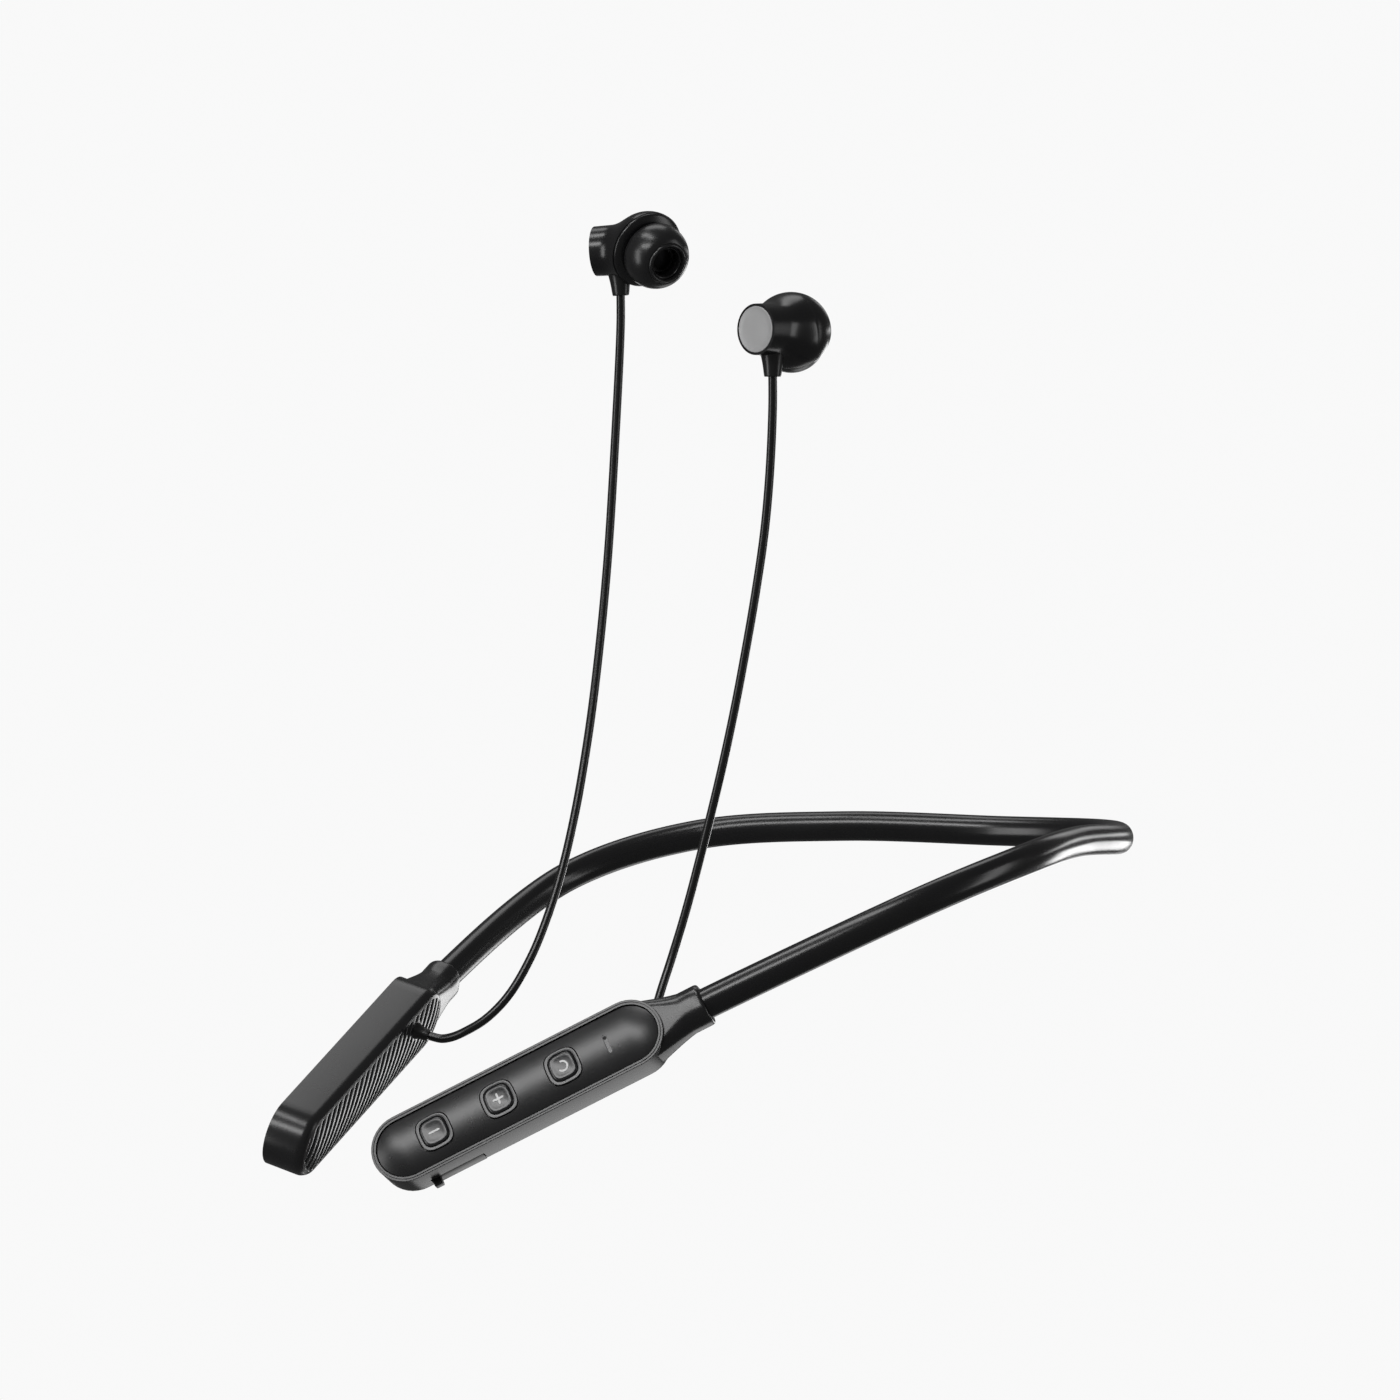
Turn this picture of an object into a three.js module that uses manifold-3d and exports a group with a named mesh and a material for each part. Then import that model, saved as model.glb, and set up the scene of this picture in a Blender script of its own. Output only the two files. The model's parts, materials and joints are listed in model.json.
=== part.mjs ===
// Neckband earphones, in millimetres, +Z up.
// The wearer faces -Y, so the left side is +X. The origin is where the band rests on the nape.
import * as THREE from 'three';
import { mergeVertices } from 'three/addons/utils/BufferGeometryUtils.js';
import Module from 'manifold-3d';

// ---- driving dimensions -------------------------------------------------------------------

const GAP = 0.3; // clearance between neighbouring pieces

// Band: an oval silicone sleeve over a memory wire and the wire harness.
const BAND_HEIGHT = 5.9;
const BAND_DEPTH = 5.2;
const BORE_HALF_HEIGHT = 1.8;
const BORE_HALF_DEPTH = 0.9;
const MEMORY_WIRE_RADIUS = 0.55;
const HARNESS_RADIUS = 0.5;
const CORE_OFFSET = 0.85; // the wire lies above the middle of the bore, the harness below
const FLEX_FRACTION = 0.4; // where each arm flexes, along the half band from the nape
const FLEX_GAP = 1.2;

// Centre line of the left half of the band, from the nape to the mouth of the pod's collar.
const BAND_HALF_PATH = [
  [0, BAND_DEPTH / 2, 0],
  [23.1, -6.2, 0],
  [46.7, -29.4, 0.6],
  [66.6, -51.7, -1.5],
  [71.2, -76.8, -9.0],
];

// Pods: flat stadium bodies whose rear end narrows to a collar round the band.
const POD_TIP = new THREE.Vector3(20.9, -164.5, -59.1); // front end of the left pod's axis
const POD_MOUTH = new THREE.Vector3(54.5, -113.4, -27.8); // collar mouth on the same axis
const POD_ROLL = THREE.MathUtils.degToRad(21); // turns the outer face upwards
const POD_LENGTH = POD_TIP.distanceTo(POD_MOUTH);
const POD_HALF_WIDTH = 6.6;
const POD_HALF_THICKNESS = 4.4;
const POD_OUTER_EDGE = 0.7;
const POD_INNER_EDGE = 2.0;
const SHOULDER = 54; // distance from the tip at which the pod starts to narrow
const COLLAR_START = 64.5;
const COLLAR_HALF_WIDTH = 4.05;
const COLLAR_HALF_THICKNESS = 3.6;
const COLLAR_EDGE = 3.1;
const COLLAR_BORE = 3.25;
const BORE_START = 50; // the bore runs into the cavity
const BAND_END = 62.5; // how far from the tip the band ends inside the collar

// Faces of a pod: an outer panel inside a raised rim and a ribbed cover on the skin side.
const PANEL_RIM = 0.95;
const PANEL_END = 59;
const PANEL_RECESS = 0.25;
const PANEL_THICKNESS = 1.1;
const COVER_RIM = 0.8;
const COVER_THICKNESS = 1.1;
const CAVITY_HALF_WIDTH = 4.9;
const CAVITY_END = 57.5;

// Controls, placed by their distance from the pod's tip.
const BUTTONS = [
  ['minus', 12.9],
  ['plus', 26.4],
  ['function', 39.9],
];
const BUTTON_SIZE = 6.6;
const BUTTON_CORNER = 2.4;
const BUTTON_TOP = 4.9;
const BUTTON_BOTTOM = 2.75;
const SLOT_AT = 49.2;
const SLOT_LENGTH = 4;
const SLOT_WIDTH = 1.2;

const BOARD_BOTTOM = 0.1;
const BOARD_TOP = 0.9;
const SWITCH_BOTTOM = 1.15;
const SWITCH_TOP = 2.3;
const SWITCH_HALF = 1.75;
const PLUNGER_RADIUS = 0.9;
const PLUNGER_HEIGHT = 0.4;

// Boards, the pieces on them and the cell, each by its ends along the pod and its half width.
const MAIN_BOARD = { start: 3, end: 55.5, halfWidth: 4.4 };
const CHIP_CLEARANCE = 0.25; // between the board and the pieces under it
const CHIP = { start: 27, end: 33, halfWidth: 3, height: 0.9 };
const CRYSTAL = { start: 35.5, end: 38.7, halfWidth: 1.2, height: 0.8 };
const MICROPHONE = { start: 50, end: 53, halfWidth: 1.9, height: 1 };
const GUIDE_HALF_WIDTH = 0.3;
const GUIDE_LOW_END = -1.7;
const GUIDE_HIGH_END = 0.9;
const GUIDE_TOP = 4.4;
const BATTERY_CELL = { start: 8, end: 44, halfWidth: 4.3, low: -2.5, high: 2.2 };
const PROTECTION_BOARD = { start: 45, end: 51, halfWidth: 3.4, low: 0.2, high: 1 };

// Charging port in the lower edge of the control pod, under a tethered rubber cover.
const PORT_START = 8;
const PORT_END = 19;
const PORT_CENTRE = (PORT_START + PORT_END) / 2;
const PORT_HEIGHT = -1.5;
const PORT_COVER_HALF_HEIGHT = 1.8;
const PORT_COVER_THICKNESS = 0.85;
const TAB_LENGTH = 1.7;
const TAB_REACH = 1.2;
const TAB_HALF_HEIGHT = 0.9;
const PLUG_HALF_LENGTH = 3.2;
const PLUG_HALF_HEIGHT = 0.8;
const PLUG_REACH = 0.6;
const SOCKET_LENGTH = 8.9;
const SOCKET_WALL = 0.35;
const SOCKET_HALF_HEIGHT = 1.4;
const SOCKET_DEPTH = 6.4;
const TONGUE_HALF_LENGTH = 3.3;
const TONGUE_HALF_HEIGHT = 0.35;
const TONGUE_SETBACK = 0.8;

// Cord exits on the skin side of the pods, and the cords.
const EXIT_AT = 47.5;
const EXIT_RISE = 2;
const GROMMET_RADIUS = 1.35;
const GROMMET_TIP_RADIUS = 1.1;
const GROMMET_END = -7.2;
const CORD_RADIUS = 0.85;
const CORD_SIDES = 8;

// Earbuds: the centre of the grey end disc, and how far each bud is turned and tipped.
const BUD_CYLINDER_RADIUS = 4.95;
const BUD_CENTRE = new THREE.Vector3(0, 9.6, 0.3); // centre of the flange, from the disc
const BUD_NOZZLE_TURN = THREE.MathUtils.degToRad(42.7); // towards the ear
const BUD_NOZZLE_DROP = THREE.MathUtils.degToRad(23);
const FLANGE_RADIUS = 7.6;
const DOME_DEPTH = 5;
const BUD_WALL = 0.9;
const DISC_RADIUS = 4.3;
const DISC_THICKNESS = 0.8;
const NOZZLE_RADIUS = 2.6;
const NOZZLE_BORE = 1.9;
const NOZZLE_LENGTH = 7.5;
const MESH_LOW = 6.8;
const MESH_HIGH = 7.1;
const MAGNET_RADIUS = 3.6;
const MAGNET_START = 1.4;
const MAGNET_END = 2.9;
const STEM_AT = 4.6;
const STEM_TOP = -5.3;
const STEM_TOP_RADIUS = 2.2;
const STEM_BOTTOM = -8.9;
const STEM_BOTTOM_RADIUS = 1.45;
const CORD_DROP = 6; // the cord runs straight down for this far under the stem

const LEFT = { name: 'left', sign: 1, disc: [36.6, -93.4, 97.8], turn: 18, tip: 0 };
const RIGHT = { name: 'right', sign: -1, disc: [-38.5, -88.3, 113.8], turn: 44, tip: 3 };

// Cord routes from the grommet to the stem of the bud.
const LEFT_CORD_ROUTE = [
  [36.0, -122.8, -39.2],
  [33.6, -120.4, -40.1],
  [30.8, -117.4, -40.0],
  [28.3, -114.1, -38.2],
  [26.7, -110.8, -34.0],
  [26.0, -107.9, -26.7],
  [25.6, -105.6, -21.1],
  [26.0, -102.9, -12.7],
  [27.0, -100.4, -2.7],
  [29.1, -97.2, 12.8],
  [30.7, -95.0, 25.1],
  [32.1, -93.1, 37.4],
  [33.2, -91.5, 48.7],
  [34.0, -90.1, 60.0],
  [34.6, -89.3, 71.3],
];
const RIGHT_CORD_ROUTE = [
  [-36.2, -123.2, -38.6],
  [-34.2, -121.8, -38.2],
  [-32.0, -120.2, -37.1],
  [-29.2, -117.1, -34.6],
  [-27.4, -113.1, -30.1],
  [-26.6, -108.7, -22.9],
  [-26.6, -105.2, -15.4],
  [-27.2, -101.6, -6.1],
  [-28.4, -98.0, 5.4],
  [-30.2, -94.1, 20.9],
  [-31.8, -91.1, 36.3],
  [-33.4, -88.4, 53.8],
  [-34.5, -86.3, 75.1],
];

// ---- materials ----------------------------------------------------------------------------

const FINISHES = {
  silicone: { color: 0x17181a, roughness: 0.42, metalness: 0 },
  shell: { color: 0x1c1d1f, roughness: 0.34, metalness: 0 },
  panel: { color: 0x202124, roughness: 0.4, metalness: 0.1 },
  ribbed: { color: 0x2c2d30, roughness: 0.5, metalness: 0 },
  button: { color: 0x2a2b2e, roughness: 0.4, metalness: 0 },
  rubber: { color: 0x121315, roughness: 0.6, metalness: 0 },
  cord: { color: 0x141517, roughness: 0.45, metalness: 0 },
  disc: { color: 0x9c9d9f, roughness: 0.45, metalness: 0.6 },
  gloss: { color: 0x111214, roughness: 0.2, metalness: 0 },
  steel: { color: 0xb4b6b8, roughness: 0.35, metalness: 1 },
  board: { color: 0x14512f, roughness: 0.55, metalness: 0 },
  chip: { color: 0x18181a, roughness: 0.6, metalness: 0 },
  lens: { color: 0xd8dadd, roughness: 0.3, metalness: 0 },
  foil: { color: 0xa9adb2, roughness: 0.5, metalness: 0.5 },
};

// ---- helpers ------------------------------------------------------------------------------

const wasm = await Module();
wasm.setup();

function toSolid(geometry) {
  const bare = geometry.clone();
  bare.deleteAttribute('normal');
  bare.deleteAttribute('uv');
  const merged = mergeVertices(bare, 1e-4);
  return new wasm.Manifold(new wasm.Mesh({
    numProp: 3,
    vertProperties: new Float32Array(merged.attributes.position.array),
    triVerts: new Uint32Array(merged.index.array),
  }));
}

function toGeometry(solid) {
  const mesh = solid.getMesh();
  const geometry = new THREE.BufferGeometry();
  geometry.setAttribute('position', new THREE.BufferAttribute(mesh.vertProperties, 3));
  geometry.setIndex(new THREE.BufferAttribute(mesh.triVerts, 1));
  return geometry;
}

function cut(geometry, ...tools) {
  const result = tools.reduce((solid, tool) => solid.subtract(toSolid(tool)), toSolid(geometry));
  return toGeometry(result);
}

function addPiece(parent, name, geometry, finish) {
  const mesh = new THREE.Mesh(geometry, new THREE.MeshStandardMaterial(FINISHES[finish]));
  mesh.name = name;
  parent.add(mesh);
  return mesh;
}

function box(lowX, highX, lowY, highY, lowZ, highZ) {
  const geometry = new THREE.BoxGeometry(highX - lowX, highY - lowY, highZ - lowZ);
  return geometry.translate((lowX + highX) / 2, (lowY + highY) / 2, (lowZ + highZ) / 2);
}

// A closed skin through rings of points that each run anticlockwise seen from the last ring.
function loft(rings) {
  const sides = rings[0].length;
  const positions = rings.flat().flatMap((point) => point.toArray());
  const indices = [];
  for (let i = 0; i < rings.length - 1; i += 1) {
    for (let j = 0; j < sides; j += 1) {
      const a = i * sides + j;
      const b = i * sides + ((j + 1) % sides);
      indices.push(a, b, b + sides, a, b + sides, a + sides);
    }
  }
  const last = (rings.length - 1) * sides;
  for (let j = 1; j < sides - 1; j += 1) {
    indices.push(0, j + 1, j);
    indices.push(last, last + j, last + j + 1);
  }
  const geometry = new THREE.BufferGeometry();
  geometry.setAttribute('position', new THREE.Float32BufferAttribute(positions, 3));
  geometry.setIndex(indices);
  return geometry;
}

// A solid of revolution about +Z from [radius, height] points.
function turned(profile, segments) {
  const points = profile.map(([radius, height]) => new THREE.Vector2(radius, height));
  return new THREE.LatheGeometry(points, segments).rotateX(Math.PI / 2);
}

// A plain drum about +Z.
function drum(radius, low, high, segments) {
  return turned([[0, low], [radius, low], [radius, high], [0, high]], segments);
}

function stadium(start, end, halfWidth) {
  const shape = new THREE.Shape();
  shape.absarc(end - halfWidth, 0, halfWidth, -Math.PI / 2, Math.PI / 2, false);
  shape.absarc(start + halfWidth, 0, halfWidth, Math.PI / 2, Math.PI * 1.5, false);
  return shape;
}

// A square with rounded corners, drawn on a shape or a path.
function roundedSquare(path, centreX, size, corner) {
  const reach = size / 2 - corner;
  for (let i = 0; i < 4; i += 1) {
    const start = i * Math.PI / 2;
    const x = centreX + reach * (i === 0 || i === 3 ? 1 : -1);
    const y = reach * (i < 2 ? 1 : -1);
    path.absarc(x, y, corner, start, start + Math.PI / 2, false);
  }
  return path;
}

function prism(shape, low, high, curveSegments = 8) {
  const settings = { depth: high - low, bevelEnabled: false, curveSegments };
  return new THREE.ExtrudeGeometry(shape, settings).translate(0, 0, low);
}

function oval(halfX, halfY, sides, centreX = 0) {
  const points = [];
  for (let i = 0; i < sides; i += 1) {
    const angle = (i + 0.5) / sides * Math.PI * 2;
    points.push(new THREE.Vector2(centreX + halfX * Math.cos(angle), halfY * Math.sin(angle)));
  }
  return points;
}

function sweep(shape, curve, steps) {
  return new THREE.ExtrudeGeometry(shape, { steps, extrudePath: curve, bevelEnabled: false });
}

// ---- frames of the two sides --------------------------------------------------------------

function mirrored(point, sign) {
  return new THREE.Vector3(point[0] * sign, point[1], point[2]);
}

// A pod's own frame: X from the tip to the collar, Z out of the outer face.
// Y points up on the left pod and down on the right one, so sign * Y is up on both.
function podFrame(sign) {
  const tip = mirrored(POD_TIP.toArray(), sign);
  const mouth = mirrored(POD_MOUTH.toArray(), sign);
  const along = mouth.clone().sub(tip).normalize();
  const sideways = new THREE.Vector3(along.y, -along.x, 0).normalize().multiplyScalar(sign);
  const outward = sideways.applyAxisAngle(along, POD_ROLL * -sign);
  const across = outward.clone().cross(along);
  const group = new THREE.Group();
  const basis = new THREE.Matrix4().makeBasis(along, across, outward);
  group.quaternion.setFromRotationMatrix(basis);
  group.position.copy(tip);
  return group;
}

function podPoint(sign, x, y, z) {
  const frame = podFrame(sign);
  frame.updateMatrix();
  return new THREE.Vector3(x, y, z).applyMatrix4(frame.matrix);
}

function budFrame(side) {
  const group = new THREE.Group();
  group.position.fromArray(side.disc);
  const tip = THREE.MathUtils.degToRad(side.tip);
  const turn = THREE.MathUtils.degToRad(side.turn) * side.sign;
  group.rotation.set(tip, 0, turn, 'ZYX');
  return group;
}

// The nozzle's own frame inside a bud: Z along the nozzle, origin at the flange's centre.
function nozzleFrame(sign) {
  const direction = new THREE.Vector3(
    -sign * Math.sin(BUD_NOZZLE_TURN) * Math.cos(BUD_NOZZLE_DROP),
    Math.cos(BUD_NOZZLE_TURN) * Math.cos(BUD_NOZZLE_DROP),
    -Math.sin(BUD_NOZZLE_DROP),
  );
  const group = new THREE.Group();
  group.position.copy(BUD_CENTRE);
  group.quaternion.setFromUnitVectors(new THREE.Vector3(0, 0, 1), direction);
  group.updateMatrix();
  return group;
}

// ---- band ---------------------------------------------------------------------------------

function bandCurve() {
  const half = BAND_HALF_PATH.slice(1);
  half.push(POD_MOUTH.toArray());
  half.push(podPoint(1, BAND_END, 0, 0).toArray());
  const left = half.map((point) => mirrored(point, 1)).reverse();
  const right = half.map((point) => mirrored(point, -1));
  const nape = new THREE.Vector3(...BAND_HALF_PATH[0]);
  return new THREE.CatmullRomCurve3([...left, nape, ...right], false, 'centripetal');
}

// The stretch of a curve between two fractions of its length.
function stretch(curve, from, to, count) {
  const points = [];
  for (let i = 0; i <= count; i += 1) {
    points.push(curve.getPointAt(from + (to - from) * i / count));
  }
  return new THREE.CatmullRomCurve3(points, false, 'centripetal');
}

function addBandStretch(parent, suffix, curve, steps) {
  const sleeve = new THREE.Shape(oval(BAND_HEIGHT / 2, BAND_DEPTH / 2, 12));
  sleeve.holes.push(new THREE.Path(oval(BORE_HALF_HEIGHT, BORE_HALF_DEPTH, 6)));
  addPiece(parent, `band_sleeve_${suffix}`, sweep(sleeve, curve, steps), 'silicone');
  const wire = new THREE.Shape(oval(MEMORY_WIRE_RADIUS, MEMORY_WIRE_RADIUS, 6, -CORE_OFFSET));
  addPiece(parent, `memory_wire_${suffix}`, sweep(wire, curve, steps), 'steel');
  const harness = new THREE.Shape(oval(HARNESS_RADIUS, HARNESS_RADIUS, 5, CORE_OFFSET));
  addPiece(parent, `harness_${suffix}`, sweep(harness, curve, steps), 'rubber');
}

function addBand(parent) {
  const curve = bandCurve();
  const gap = FLEX_GAP / curve.getLength();
  const leftFlex = 0.5 - FLEX_FRACTION / 2;
  const rightFlex = 0.5 + FLEX_FRACTION / 2;
  const nape = stretch(curve, leftFlex + gap / 2, rightFlex - gap / 2, 26);
  const left = stretch(curve, leftFlex - gap / 2, 0, 20);
  const right = stretch(curve, rightFlex + gap / 2, 1, 20);
  addBandStretch(parent, 'nape', nape, 26);
  addBandStretch(parent, 'left', left, 18);
  addBandStretch(parent, 'right', right, 18);
}

// ---- pods ---------------------------------------------------------------------------------

// One section of a pod at x: a rounded rectangle, softer on the skin side.
function podSection(x) {
  const taper = THREE.MathUtils.smoothstep(x, SHOULDER, COLLAR_START);
  const nose = Math.max(0, 1 - x / POD_HALF_WIDTH);
  const body = POD_HALF_WIDTH * Math.sqrt(1 - nose * nose);
  const width = THREE.MathUtils.lerp(body, COLLAR_HALF_WIDTH, taper);
  const thickness = THREE.MathUtils.lerp(POD_HALF_THICKNESS, COLLAR_HALF_THICKNESS, taper);
  const toe = Math.max(0, 1 - x / POD_INNER_EDGE);
  const lift = POD_INNER_EDGE * (1 - Math.sqrt(1 - toe * toe));
  const limit = width * 0.9;
  const outerEdge = Math.min(limit, THREE.MathUtils.lerp(POD_OUTER_EDGE, COLLAR_EDGE, taper));
  const innerEdge = Math.min(limit, THREE.MathUtils.lerp(POD_INNER_EDGE, COLLAR_EDGE, taper));
  const ring = [];
  for (let corner = 0; corner < 4; corner += 1) {
    const edge = corner < 2 ? outerEdge : innerEdge;
    const low = lift - thickness;
    const y = (width - edge) * (corner === 0 || corner === 3 ? 1 : -1);
    const z = corner < 2 ? thickness - edge : low + edge;
    for (let i = 0; i <= 3; i += 1) {
      const angle = (corner + i / 3) * Math.PI / 2;
      ring.push(new THREE.Vector3(x, y + edge * Math.cos(angle), z + edge * Math.sin(angle)));
    }
  }
  return ring;
}

function podBlank() {
  const stations = [];
  for (let i = 1; i <= 6; i += 1) {
    stations.push(POD_HALF_WIDTH * (1 - Math.cos(i / 6 * Math.PI / 2)));
  }
  stations.push(SHOULDER);
  for (let x = SHOULDER + 2.2; x < COLLAR_START; x += 2.2) {
    stations.push(x);
  }
  stations.push(COLLAR_START, POD_LENGTH);
  return loft(stations.map(podSection));
}

function podHousing(extraTools) {
  const top = POD_HALF_THICKNESS;
  const panelSeat = stadium(PANEL_RIM, PANEL_END, POD_HALF_WIDTH - PANEL_RIM);
  const coverSeat = stadium(COVER_RIM, PANEL_END, POD_HALF_WIDTH - COVER_RIM);
  const cavity = stadium(POD_HALF_WIDTH - CAVITY_HALF_WIDTH, CAVITY_END, CAVITY_HALF_WIDTH);
  const panelFloor = top - PANEL_RECESS - PANEL_THICKNESS - GAP;
  const coverFloor = -top + COVER_THICKNESS + GAP;
  const bore = drum(COLLAR_BORE, BORE_START, POD_LENGTH + 1, 16).rotateY(Math.PI / 2);
  return cut(
    podBlank(),
    prism(panelSeat, panelFloor, top + 1),
    prism(coverSeat, -top - 1, coverFloor),
    prism(cavity, -top - 1, top + 1),
    bore,
    ...extraTools,
  );
}

function outerPanelShape() {
  return stadium(PANEL_RIM + GAP, PANEL_END - GAP, POD_HALF_WIDTH - PANEL_RIM - GAP);
}

function addPanel(parent, name, shape) {
  const high = POD_HALF_THICKNESS - PANEL_RECESS;
  addPiece(parent, name, prism(shape, high - PANEL_THICKNESS, high), 'panel');
}

function addSkinSide(parent, side, prefix) {
  const exitY = EXIT_RISE * side.sign;
  const cover = stadium(COVER_RIM + GAP, PANEL_END - GAP, POD_HALF_WIDTH - COVER_RIM - GAP);
  const hole = new THREE.Path();
  hole.absarc(EXIT_AT, exitY, GROMMET_RADIUS + GAP, 0, Math.PI * 2, false);
  cover.holes.push(hole);
  const low = -POD_HALF_THICKNESS;
  const plate = prism(cover, low, low + COVER_THICKNESS);
  addPiece(parent, `${prefix}_inner_cover`, plate, 'ribbed');
  const grommet = turned([
    [0, GROMMET_END],
    [GROMMET_TIP_RADIUS, GROMMET_END],
    [GROMMET_RADIUS, low - 0.4],
    [GROMMET_RADIUS, low + COVER_THICKNESS],
    [0, low + COVER_THICKNESS],
  ], 12);
  const mesh = addPiece(parent, `${side.name}_grommet`, grommet, 'rubber');
  mesh.position.set(EXIT_AT, exitY, 0);
}

function portTools() {
  const wall = -POD_HALF_WIDTH;
  const reach = PORT_COVER_HALF_HEIGHT + GAP;
  const seat = box(
    PORT_START - GAP, PORT_END + GAP,
    wall - 1, wall + PORT_COVER_THICKNESS + GAP,
    PORT_HEIGHT - reach, PORT_HEIGHT + reach,
  );
  const halfMouth = SOCKET_LENGTH / 2 + GAP;
  const mouth = box(
    PORT_CENTRE - halfMouth, PORT_CENTRE + halfMouth,
    wall, -CAVITY_HALF_WIDTH + 0.5,
    PORT_HEIGHT - SOCKET_HALF_HEIGHT - GAP, PORT_HEIGHT + SOCKET_HALF_HEIGHT + GAP,
  );
  return [seat, mouth];
}

function addPortCover(parent) {
  const wall = -POD_HALF_WIDTH;
  const half = PORT_COVER_HALF_HEIGHT;
  const plate = box(
    PORT_START, PORT_END, wall, wall + PORT_COVER_THICKNESS,
    PORT_HEIGHT - half, PORT_HEIGHT + half,
  );
  const tab = box(
    PORT_START, PORT_START + TAB_LENGTH, wall - TAB_REACH, wall + 0.5,
    PORT_HEIGHT - TAB_HALF_HEIGHT, PORT_HEIGHT + TAB_HALF_HEIGHT,
  );
  const plugRoot = wall + PORT_COVER_THICKNESS;
  const plug = box(
    PORT_CENTRE - PLUG_HALF_LENGTH, PORT_CENTRE + PLUG_HALF_LENGTH,
    plugRoot - 0.3, plugRoot + PLUG_REACH,
    PORT_HEIGHT - PLUG_HALF_HEIGHT, PORT_HEIGHT + PLUG_HALF_HEIGHT,
  );
  const solid = toSolid(plate).add(toSolid(tab)).add(toSolid(plug));
  addPiece(parent, 'port_cover', toGeometry(solid), 'rubber');
}

function usbSocket() {
  const half = SOCKET_LENGTH / 2;
  const front = -CAVITY_HALF_WIDTH + GAP;
  const shell = box(
    PORT_CENTRE - half, PORT_CENTRE + half, front, front + SOCKET_DEPTH,
    PORT_HEIGHT - SOCKET_HALF_HEIGHT, PORT_HEIGHT + SOCKET_HALF_HEIGHT,
  );
  const wall = SOCKET_WALL;
  const mouth = box(
    PORT_CENTRE - half + wall, PORT_CENTRE + half - wall, front - 1, front + SOCKET_DEPTH - 1,
    PORT_HEIGHT - SOCKET_HALF_HEIGHT + wall, PORT_HEIGHT + SOCKET_HALF_HEIGHT - wall,
  );
  const tongue = box(
    PORT_CENTRE - TONGUE_HALF_LENGTH, PORT_CENTRE + TONGUE_HALF_LENGTH,
    front + TONGUE_SETBACK, front + SOCKET_DEPTH - 0.5,
    PORT_HEIGHT - TONGUE_HALF_HEIGHT, PORT_HEIGHT + TONGUE_HALF_HEIGHT,
  );
  return toGeometry(toSolid(cut(shell, mouth)).add(toSolid(tongue)));
}

function addControls(parent) {
  const shape = outerPanelShape();
  for (const [name, at] of BUTTONS) {
    shape.holes.push(roundedSquare(new THREE.Path(), at, BUTTON_SIZE + 2 * GAP, BUTTON_CORNER));
    const outline = roundedSquare(new THREE.Shape(), at, BUTTON_SIZE, BUTTON_CORNER);
    addPiece(parent, `${name}_button`, prism(outline, BUTTON_BOTTOM, BUTTON_TOP, 4), 'button');
    const half = SWITCH_HALF;
    const shoulder = SWITCH_TOP - PLUNGER_HEIGHT;
    const body = box(at - half, at + half, -half, half, SWITCH_BOTTOM, shoulder);
    const plunger = drum(PLUNGER_RADIUS, shoulder - 0.1, SWITCH_TOP, 10).translate(at, 0, 0);
    const solid = toSolid(body).add(toSolid(plunger));
    addPiece(parent, `${name}_switch`, toGeometry(solid), 'steel');
  }
  const slot = new THREE.Path();
  const halfSlot = SLOT_LENGTH / 2;
  slot.moveTo(SLOT_AT - SLOT_WIDTH / 2, -halfSlot);
  slot.lineTo(SLOT_AT + SLOT_WIDTH / 2, -halfSlot);
  slot.lineTo(SLOT_AT + SLOT_WIDTH / 2, halfSlot);
  slot.lineTo(SLOT_AT - SLOT_WIDTH / 2, halfSlot);
  slot.closePath();
  shape.holes.push(slot);
  addPanel(parent, 'control_panel', shape);
}

// A block across the pod's axis, from a piece's named extents.
function block({ start, end, halfWidth }, low, high) {
  return box(start, end, -halfWidth, halfWidth, low, high);
}

function addControlPod(parent) {
  const pod = podFrame(LEFT.sign);
  parent.add(pod);
  addPiece(pod, 'control_housing', podHousing(portTools()), 'shell');
  addControls(pod);
  addSkinSide(pod, LEFT, 'control');
  addPortCover(pod);
  addPiece(pod, 'usb_socket', usbSocket(), 'steel');
  const outline = stadium(MAIN_BOARD.start, MAIN_BOARD.end, MAIN_BOARD.halfWidth);
  addPiece(pod, 'main_board', prism(outline, BOARD_BOTTOM, BOARD_TOP, 5), 'board');
  const underside = BOARD_BOTTOM - CHIP_CLEARANCE;
  addPiece(pod, 'bluetooth_chip', block(CHIP, underside - CHIP.height, underside), 'chip');
  addPiece(pod, 'crystal', block(CRYSTAL, underside - CRYSTAL.height, underside), 'steel');
  const guide = box(
    SLOT_AT - GUIDE_HALF_WIDTH, SLOT_AT + GUIDE_HALF_WIDTH,
    GUIDE_LOW_END, GUIDE_HIGH_END, SWITCH_BOTTOM, GUIDE_TOP,
  );
  addPiece(pod, 'led_light_guide', guide, 'lens');
  const microphone = block(MICROPHONE, SWITCH_BOTTOM, SWITCH_BOTTOM + MICROPHONE.height);
  addPiece(pod, 'microphone', microphone, 'steel');
}

function addBatteryPod(parent) {
  const pod = podFrame(RIGHT.sign);
  parent.add(pod);
  addPiece(pod, 'battery_housing', podHousing([]), 'shell');
  addPanel(pod, 'battery_panel', outerPanelShape());
  addSkinSide(pod, RIGHT, 'battery');
  const cell = block(BATTERY_CELL, BATTERY_CELL.low, BATTERY_CELL.high);
  addPiece(pod, 'battery_cell', cell, 'foil');
  const board = block(PROTECTION_BOARD, PROTECTION_BOARD.low, PROTECTION_BOARD.high);
  addPiece(pod, 'protection_board', board, 'board');
}

// ---- earbuds ------------------------------------------------------------------------------

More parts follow.
